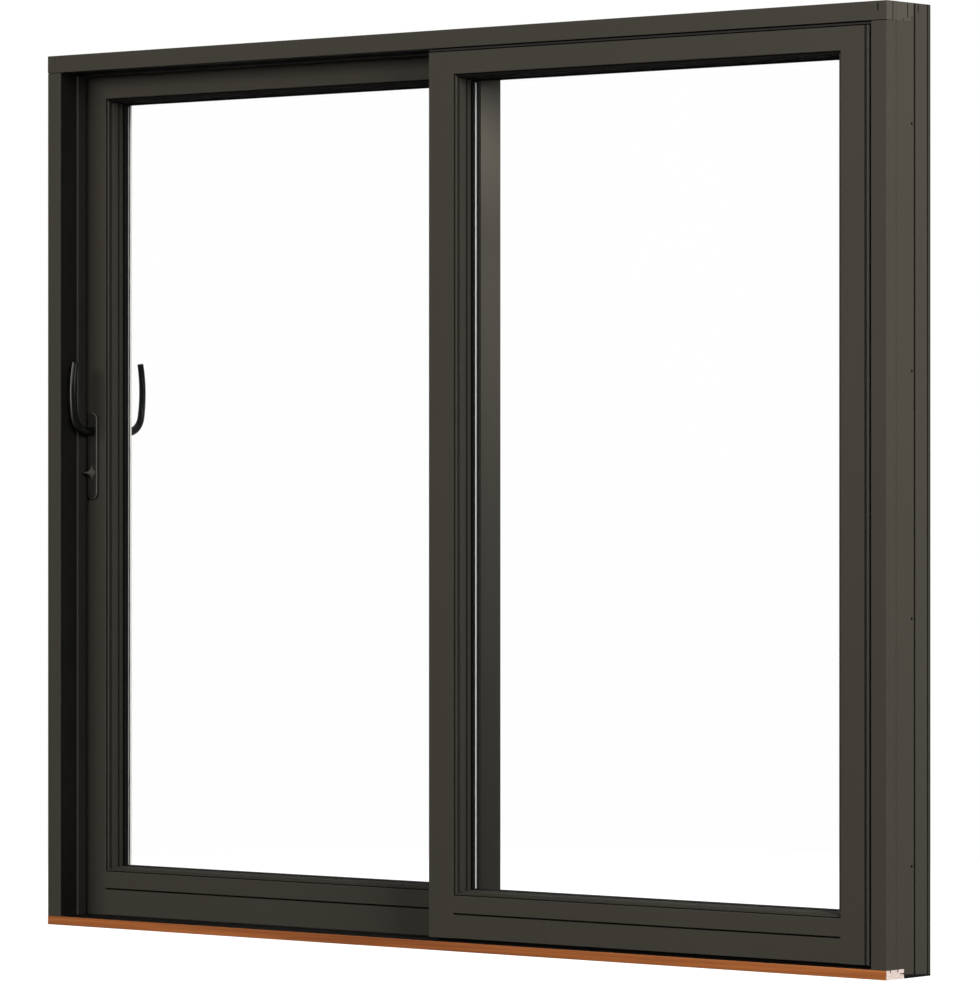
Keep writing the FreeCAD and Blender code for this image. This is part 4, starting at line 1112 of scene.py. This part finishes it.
    def plate_highlight_and_shade(self) -> Tuple[Zone, ...]:
        """Painted highlights on the rims and painted shade on the sides of the two handle plates.

        Returns:
            Two zones for each plate.
        """
        made = []
        for name, outwards in (("plate_inside", -1), ("plate_outside", 1)):
            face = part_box(name)[outwards > 0].y
            for tone, (near, far) in ((self.rim, self.plate_highlight_depths), (self.gap_shade, self.plate_shade_depths)):
                low, high = sorted((face - outwards * near, face - outwards * far))
                made.append(Zone(tone, (("Y", low, high),), self.fine))
        return tuple(made)


def dress(material: bpy.types.Material, *names: str) -> None:
    """Give CAD nodes a finish.

    Args:
        material: Their finish.
        names: The nodes' names.
    """
    for name in names:
        data = frame["nodes"][name].data
        data.materials.clear()
        data.materials.append(material)
        LOG.info("node %s: %s", name, material.name)


@dataclass
class OuterFrame:
    """Head, jambs, sill and the liners round the recess. Sizes in metres."""

    finishes: Finishes
    brush_depth: float = 0.0085
    brush_width: float = 0.0040
    brush_edge: float = 0.0006
    clear: float = 0.0006
    # Each groove's gasket, depth from the near face, width, and depth into the frame.
    grooves: Tuple[Tuple[str, float, float, float], ...] = (
        ("gasket_joint", 0.100, 0.0022, 0.004),
        ("gasket_weather", 0.1452, 0.0020, 0.0008),
    )
    gasket_gap: float = 0.00005
    gasket_sunk: float = 0.00025
    foot_gap: float = 0.008
    screw_radius: float = 0.00235
    screw_sunk: float = 0.0012

    def build(self) -> None:
        """Dress the frame's nodes and add gaskets, screws and brush strips."""
        kit = self.finishes
        dress(kit.head, "head")
        dress(kit.jamb, "jamb_left", "jamb_right")
        dress(kit.outer_level, "head_outer")
        dress(kit.outer_upright, "jamb_outer_left", "jamb_outer_right")
        dress(kit.sill, "sill_nosing")
        dress(kit.pan, "sill_pan")
        dress(kit.deck, "sill_deck", "sill_well")
        dress(kit.track, "sill_track")
        dress(kit.cover, "jamb_cover_left")
        dress(kit.liner, "jamb_liner_left")
        dress(kit.head_liner, "head_liner")
        dress(kit.filler, "fixed_filler")
        dress(kit.reveal_top, "fixed_reveal_top")
        dress(kit.reveal_side, "fixed_reveal_right")
        self.brushes()
        self.gaskets()
        self.screws()

    def gaskets(self) -> None:
        """Dark gaskets that close the two grooves round the frame's sides and top."""
        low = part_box("jamb_outer_right")[0].z + self.foot_gap
        out, top = HALF_WIDTH - self.gasket_sunk, TOP - self.gasket_sunk
        for name, start, width, depth in self.grooves:
            shape = Shape()
            near = NEAR_FACE + start + self.gasket_gap
            far = near + width - 2 * self.gasket_gap
            floor = depth - self.gasket_gap
            for side in (-1, 1):
                left, right = sorted((side * (HALF_WIDTH - floor), side * out))
                shape.block(Vector((left, near, low)), Vector((right, far, TOP - floor)))
            shape.block(Vector((-out, near, TOP - floor)), Vector((out, far, top)))
            shape.piece(name, self.finishes.rubber, Body.FRAME, smooth=False)

    def screws(self) -> None:
        """Screw heads sunk in the fixing holes."""
        out, depth = HALF_WIDTH - self.screw_sunk, self.finishes.hole_y
        for name, side in (("screws_left", -1), ("screws_right", 1)):
            shape = Shape()
            for height in fixing_heights():
                shape.screw(Vector((side * out, depth, height)), side, self.screw_radius)
            shape.piece(name, self.finishes.bronze, Body.FRAME)

    def brush(self, name: str, low: Vector, high: Vector) -> None:
        """One brush strip between two corners, with soft edges."""
        strip = Shape().block(low, high, self.brush_edge)
        strip.piece(name, self.finishes.pile, Body.FRAME, "liner")

    def brushes(self) -> None:
        """Brush strips on the back edges of the two liners, close to the sliding leaf."""
        clear, width, depth = self.clear, self.brush_width, self.brush_depth
        low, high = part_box("jamb_liner_left")
        self.brush("brush_jamb", Vector((low.x + clear, high.y, low.z + clear)),
                   Vector((low.x + width, high.y + depth, high.z - clear)))
        low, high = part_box("head_liner")
        self.brush("brush_head", Vector((low.x + clear, high.y, high.z - width)),
                   Vector((high.x - clear, high.y + depth, high.z - clear)))


@dataclass
class GlazedLeaf:
    """One leaf: timber, beads, glass, facings and the seals at both panes. Sizes in metres."""

    finishes: Finishes
    name: str
    body: Body
    bead_edge: float = 0.0005
    seal_height: float = 0.0026
    seal_depth: float = 0.0034
    seal_edge: float = 0.0005
    spacer_show: float = 0.0008
    sealant_proud: float = 0.0006
    sealant_depth: float = 0.0026
    sealant_far: float = 0.0012
    far_height: float = 0.0008
    far_depth: float = 0.0055
    sealant_wide: float = 0.0069
    pale_far_seal: bool = False

    def build(self) -> None:
        """Dress the leaf's nodes and add its seals."""
        kit, name = self.finishes, self.name
        dress(kit.upright, name + "_stile_left", name + "_stile_right")
        dress(kit.level, name + "_rail_top", name + "_rail_bottom")
        for way, finish in (("upright", kit.bead_upright), ("level", kit.bead_level)):
            node = f"{name}_beads_{way}"
            Shape().softened(node, self.bead_edge).piece(node + "_form", finish, self.body, "bead", [node])
        dress(kit.coat_upright, name + "_cladding_stiles")
        dress(kit.coat_level, name + "_cladding_rails")
        dress(kit.glass, name + "_glass")
        dress(kit.spacer, name + "_spacer")
        dress(kit.interlock, name + "_interlock")
        self.seals()

    def opening(self, uprights: str, levels: str) -> Tuple[float, float, float, float]:
        """Left, right, bottom and top of the space between two pairs of members."""
        return (*self.inner_edges(self.name + uprights, 0), *self.inner_edges(self.name + levels, 2))

    def inner_edges(self, node: str, axis: int) -> Pair:
        """Where a pair of members ends on the glass side.

        Args:
            node: The node with both members.
            axis: 0 for X or 2 for Z.

        Returns:
            The two edges, lower first.
        """
        places = [v.co[axis] for v in frame["nodes"][node].data.vertices]
        middle = (min(places) + max(places)) / 2
        return max(p for p in places if p < middle), min(p for p in places if p > middle)

    def ring_piece(self, ending: str, edges: Tuple[float, float, float, float], reach: Pair, width: float,
                   edge: float, finish: Optional[bpy.types.Material] = None) -> None:
        """One ring round the glass.

        Args:
            ending: End of the piece's name.
            edges: Left, right, bottom and top of its outside.
            reach: Where it starts and stops through the leaf.
            width: Width of its sides.
            edge: Width of its bevel.
            finish: Its finish, if it isn't rubber.
        """
        left, right, bottom, top = edges
        shape = Shape().ring(Vector((left, reach[0], bottom)), Vector((right, reach[1], top)), width, edge)
        shape.piece(self.name + ending, finish or self.finishes.rubber, self.body)

    def seals(self) -> None:
        """Seals against both panes, and sealant lines along the spacer's two sides."""
        left, right, bottom, top = self.opening("_beads_upright", "_beads_level")
        low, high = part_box(self.name + "_glass")
        self.ring_piece("_seal_near", (left, right, bottom - self.seal_height, top),
                        (low.y - self.seal_depth, low.y), self.seal_height, self.seal_edge)
        pale = self.finishes.tape if self.pale_far_seal else None
        self.ring_piece("_seal_far", self.opening("_cladding_stiles", "_cladding_rails"),
                        (high.y, high.y + self.far_depth), self.far_height, self.seal_edge, pale)
        low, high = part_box(self.name + "_spacer")
        show, proud = self.spacer_show, self.sealant_proud
        edges = (left + show, right - show, bottom + show, top - show)
        near = self.sealant_wide if self.pale_far_seal else self.sealant_depth
        self.ring_piece("_sealant_near", edges, (low.y, low.y + near), proud, proud / 3)
        if not self.pale_far_seal:
            self.ring_piece("_sealant_far", edges, (high.y - self.sealant_far, high.y), proud, proud / 3)


@dataclass
class Pull:
    """A J-shaped pull: neck, bend and bowed grip. The sizes are those of the CAD pull, in metres."""

    finishes: Finishes
    node: str
    outwards: float
    reach: float
    plate_thick: float = 0.007
    bend_radius: float = 0.042
    bend_angle: float = 80.0
    bow_radius: float = 0.33
    bow_lean: float = 12.0
    # Width and thickness at the root, in the grip and at the tip.
    root: Pair = (0.020, 0.0198)
    grip: Pair = (0.017, 0.0155)
    tip: Pair = (0.0155, 0.0135)
    flare: float = 0.0012
    flare_shares: Triple = (0.0, 0.1, 0.4)
    tip_edge: float = 0.0011
    bend_steps: int = 16
    bow_steps: int = 18

    def stations(self, seat: Vector) -> List[Tuple[Vector, Vector, float, float]]:
        """Centre line of the pull.

        Args:
            seat: Where its neck's line meets the leaf.

        Returns:
            Centre, direction, width and thickness at each place.
        """
        full = math.radians(self.bend_angle)
        start = self.reach - self.bend_radius * math.sin(full) - self.bow_radius * (1 - math.sin(full))
        rows = []
        for share in self.flare_shares:
            wider = self.flare * (1 - share / self.flare_shares[-1]) ** 2
            rows.append((self.plate_thick + (start - self.plate_thick) * share, 0.0, 0.0,
                         self.root[0] + wider, self.root[1] + wider))
        for step in range(self.bend_steps + 1):
            share = step / self.bend_steps
            angle = full * share
            rows.append((start + self.bend_radius * math.sin(angle), self.bend_radius * (1 - math.cos(angle)),
                         angle, *self.between(self.root, self.grip, share)))
        mid_out = rows[-1][0] - self.bow_radius * math.sin(full)
        mid_up = rows[-1][1] + self.bow_radius * math.cos(full)
        last = math.radians(90 + self.bow_lean)
        for step in range(1, self.bow_steps + 1):
            share = step / self.bow_steps
            angle = full + (last - full) * share
            rows.append((mid_out + self.bow_radius * math.sin(angle),
                         mid_up - self.bow_radius * math.cos(angle),
                         angle, *self.between(self.grip, self.tip, share)))
        placed = []
        for out, up, angle, width, thick in rows:
            centre = seat + Vector((0, self.outwards * out, up))
            travel = Vector((0, self.outwards * math.cos(angle), math.sin(angle)))
            placed.append((centre, travel, width, thick))
        return placed

    def between(self, first: Pair, second: Pair, share: float) -> Pair:
        """Width and thickness part of the way, from 0 to 1, between two sections."""
        return tuple(a + (b - a) * share for a, b in zip(first, second))

    def build(self) -> None:
        """Make the smooth pull in the CAD pull's place."""
        low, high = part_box(self.node)
        base = (high.y if self.outwards < 0 else low.y) - self.outwards * self.plate_thick
        seat = Vector(((low.x + high.x) / 2, base, low.z + self.root[1] / 2))
        shape = Shape().swept_oval(self.stations(seat), self.tip_edge)
        shape.piece(self.node + "_form", self.finishes.bronze, Body.SLIDING, "hardware", [self.node])


@dataclass
class HandleSet:
    """Plates, pulls and thumb turn on the leading stile, and the rollers below."""

    finishes: Finishes
    plate_edge: float = 0.0011
    turn_edge: float = 0.0007
    inner_reach: float = 0.0699
    outer_reach: float = 0.0899

    def build(self) -> None:
        """Make the handle set."""
        kit = self.finishes
        for node in ("plate_inside", "plate_outside"):
            Shape().softened(node, self.plate_edge).piece(
                node + "_form", kit.plate, Body.SLIDING, "hardware", [node])
        Shape().softened("thumb_turn", self.turn_edge).piece(
            "thumb_turn_form", kit.turn, Body.TURN, "hardware", ["thumb_turn"])
        Pull(kit, "pull_inside", -1.0, self.inner_reach).build()
        Pull(kit, "pull_outside", 1.0, self.outer_reach).build()
        dress(kit.roller, "sliding_rollers")


@dataclass
class Studio:
    """Camera, floor, lamps and surroundings."""

    camera_at: Triple = (8.1352, -9.7213, 1.0155)
    camera_turn: float = 39.695
    focal: float = 209.90
    sensor: float = 36.0
    view_end: float = 200.0
    floor_size: float = 80.0
    floor_light: float = 0.25
    floor_speck: float = 0.01
    floor_glow: float = 0.93
    shadow_end: Pair = (9.0, 8.0)
    bounce: float = 0.05
    sky: float = 0.12
    # Each lamp's name, place, aim, width and height, and watts.
    lamps: Tuple[Tuple[str, Triple, Triple, Pair, float], ...] = (
        ("left", (-3.0, -6.4, 3.5), (0.0, 0.0, 1.0), (5.0, 2.2), 430.0),
        ("right", (6.0, -2.1, 3.1), (0.6, 0.0, 1.2), (2.5, 3.0), 655.0),
        ("top", (0.0, 0.6, 6.0), (0.0, 0.0, 1.0), (5.0, 2.5), 60.0),
        ("back", (-1.5, 7.5, 3.4), (0.0, 0.0, 1.0), (5.0, 3.0), 260.0),
    )

    def build(self) -> None:
        """Set the stage."""
        self.camera()
        self.floor()
        for lamp in self.lamps:
            self.lamp(*lamp)
        self.surroundings()
        bpy.context.scene.view_settings.view_transform = "Standard"

    def hang(self, name: str, data: bpy.types.ID) -> bpy.types.Object:
        """Put an object with some data into the scene.

        Args:
            name: Its name.
            data: Its mesh, camera or lamp.

        Returns:
            The object.
        """
        made = bpy.data.objects.new(name, data)
        bpy.context.scene.collection.objects.link(made)
        return made

    def camera(self) -> None:
        """Camera at the photograph's place, level, looking to the far left."""
        data = bpy.data.cameras.new("camera")
        data.sensor_fit = "HORIZONTAL"
        data.sensor_width = self.sensor
        data.lens = self.focal
        data.clip_end = self.view_end
        made = self.hang("camera", data)
        made.location = self.camera_at
        made.rotation_euler = (math.radians(90), 0, math.radians(self.camera_turn))
        bpy.context.scene.camera = made

    def seen_directly(self, recipe: Recipe) -> Number:
        """1 for rays from the camera, from a gloss or through glass.

        Args:
            recipe: The material or world in the making.

        Returns:
            The mask.
        """
        path = recipe.node("ShaderNodeLightPath")
        camera, gloss, through = (Number(recipe, path.outputs[f"Is {kind} Ray"])
                                  for kind in ("Camera", "Glossy", "Transmission"))
        return (camera + gloss + through).above(0.5, 0.2)

    def floor(self) -> None:
        """Pale floor that looks white and keeps a faint shadow."""
        recipe = Recipe("pale_floor")
        white, dark = ((*[level] * 3, 1.0) for level in (1.0, self.bounce))
        pale, paler = ((level,) * 3 for level in (self.floor_light, self.floor_light + self.floor_speck))
        colour = recipe.mix(recipe.noise(30.0, 2.0), pale, paler)
        glow = recipe.node("ShaderNodeEmission", None, {"Color": white, "Strength": self.floor_glow})
        lit = recipe.node("ShaderNodeBsdfDiffuse", None, {"Color": colour})
        near = recipe.node("ShaderNodeAddShader", None, {0: glow.outputs[0], 1: lit.outputs[0]})
        plain = recipe.node("ShaderNodeEmission", None, {"Color": white, "Strength": 1.0})
        away = (recipe.coordinate("X") ** 2.0 + recipe.coordinate("Y") ** 2.0).above(*self.shadow_end)
        shown = recipe.node("ShaderNodeMixShader", None, {0: away, 1: near.outputs[0], 2: plain.outputs[0]})
        hidden = recipe.node("ShaderNodeBsdfDiffuse", None, {"Color": dark})
        both = recipe.node("ShaderNodeMixShader", None,
                           {0: self.seen_directly(recipe), 1: hidden.outputs[0], 2: shown.outputs[0]})
        recipe.node("ShaderNodeOutputMaterial", None, {"Surface": both.outputs[0]})
        shape = bmesh.new()
        bmesh.ops.create_grid(shape, x_segments=4, y_segments=4, size=self.floor_size / 2)
        data = bpy.data.meshes.new("floor")
        shape.to_mesh(data)
        shape.free()
        data.materials.append(recipe.owner)
        made = self.hang("floor", data)
        made.location.z = CAD_BOX[0].z

    def lamp(self, name: str, place: Triple, aim: Triple, size: Pair, power: float) -> None:
        """Add one soft lamp.

        Args:
            name: Its name.
            place: Where it hangs.
            aim: Where it points.
            size: Width and height.
            power: Watts.
        """
        data = bpy.data.lights.new(name, "AREA")
        data.shape = "RECTANGLE"
        data.size, data.size_y = size
        data.energy = power
        made = self.hang(name, data)
        made.location = place
        made.rotation_euler = (Vector(aim) - Vector(place)).to_track_quat("-Z", "Y").to_euler()
        made.visible_camera = False
        made.visible_transmission = False

    def surroundings(self) -> None:
        """White to the eye, and a dim sky for the light that fills the shadows."""
        recipe = Recipe("surroundings", world=True)
        way = recipe.node("ShaderNodeTexCoord").outputs["Generated"]
        height = Number(recipe, recipe.node("ShaderNodeSeparateXYZ", None, {0: way}).outputs["Z"])
        direct = self.seen_directly(recipe)
        strength = direct + (1 - direct) * height.above(0.1, 0.6) * self.sky
        light = recipe.node("ShaderNodeBackground", None, {"Color": (1.0,) * 4, "Strength": strength})
        recipe.node("ShaderNodeOutputWorld", None, {"Surface": light.outputs[0]})
        bpy.context.scene.world = recipe.owner


def main() -> None:
    """Build the door's looks in order."""
    logging.basicConfig(level=logging.INFO)
    finishes = Finishes()
    Studio().build()
    OuterFrame(finishes).build()
    GlazedLeaf(finishes, "fixed", Body.FRAME).build()
    GlazedLeaf(finishes, "sliding", Body.SLIDING, pale_far_seal=True).build()
    HandleSet(finishes).build()


if __name__ == "__main__":
    main()
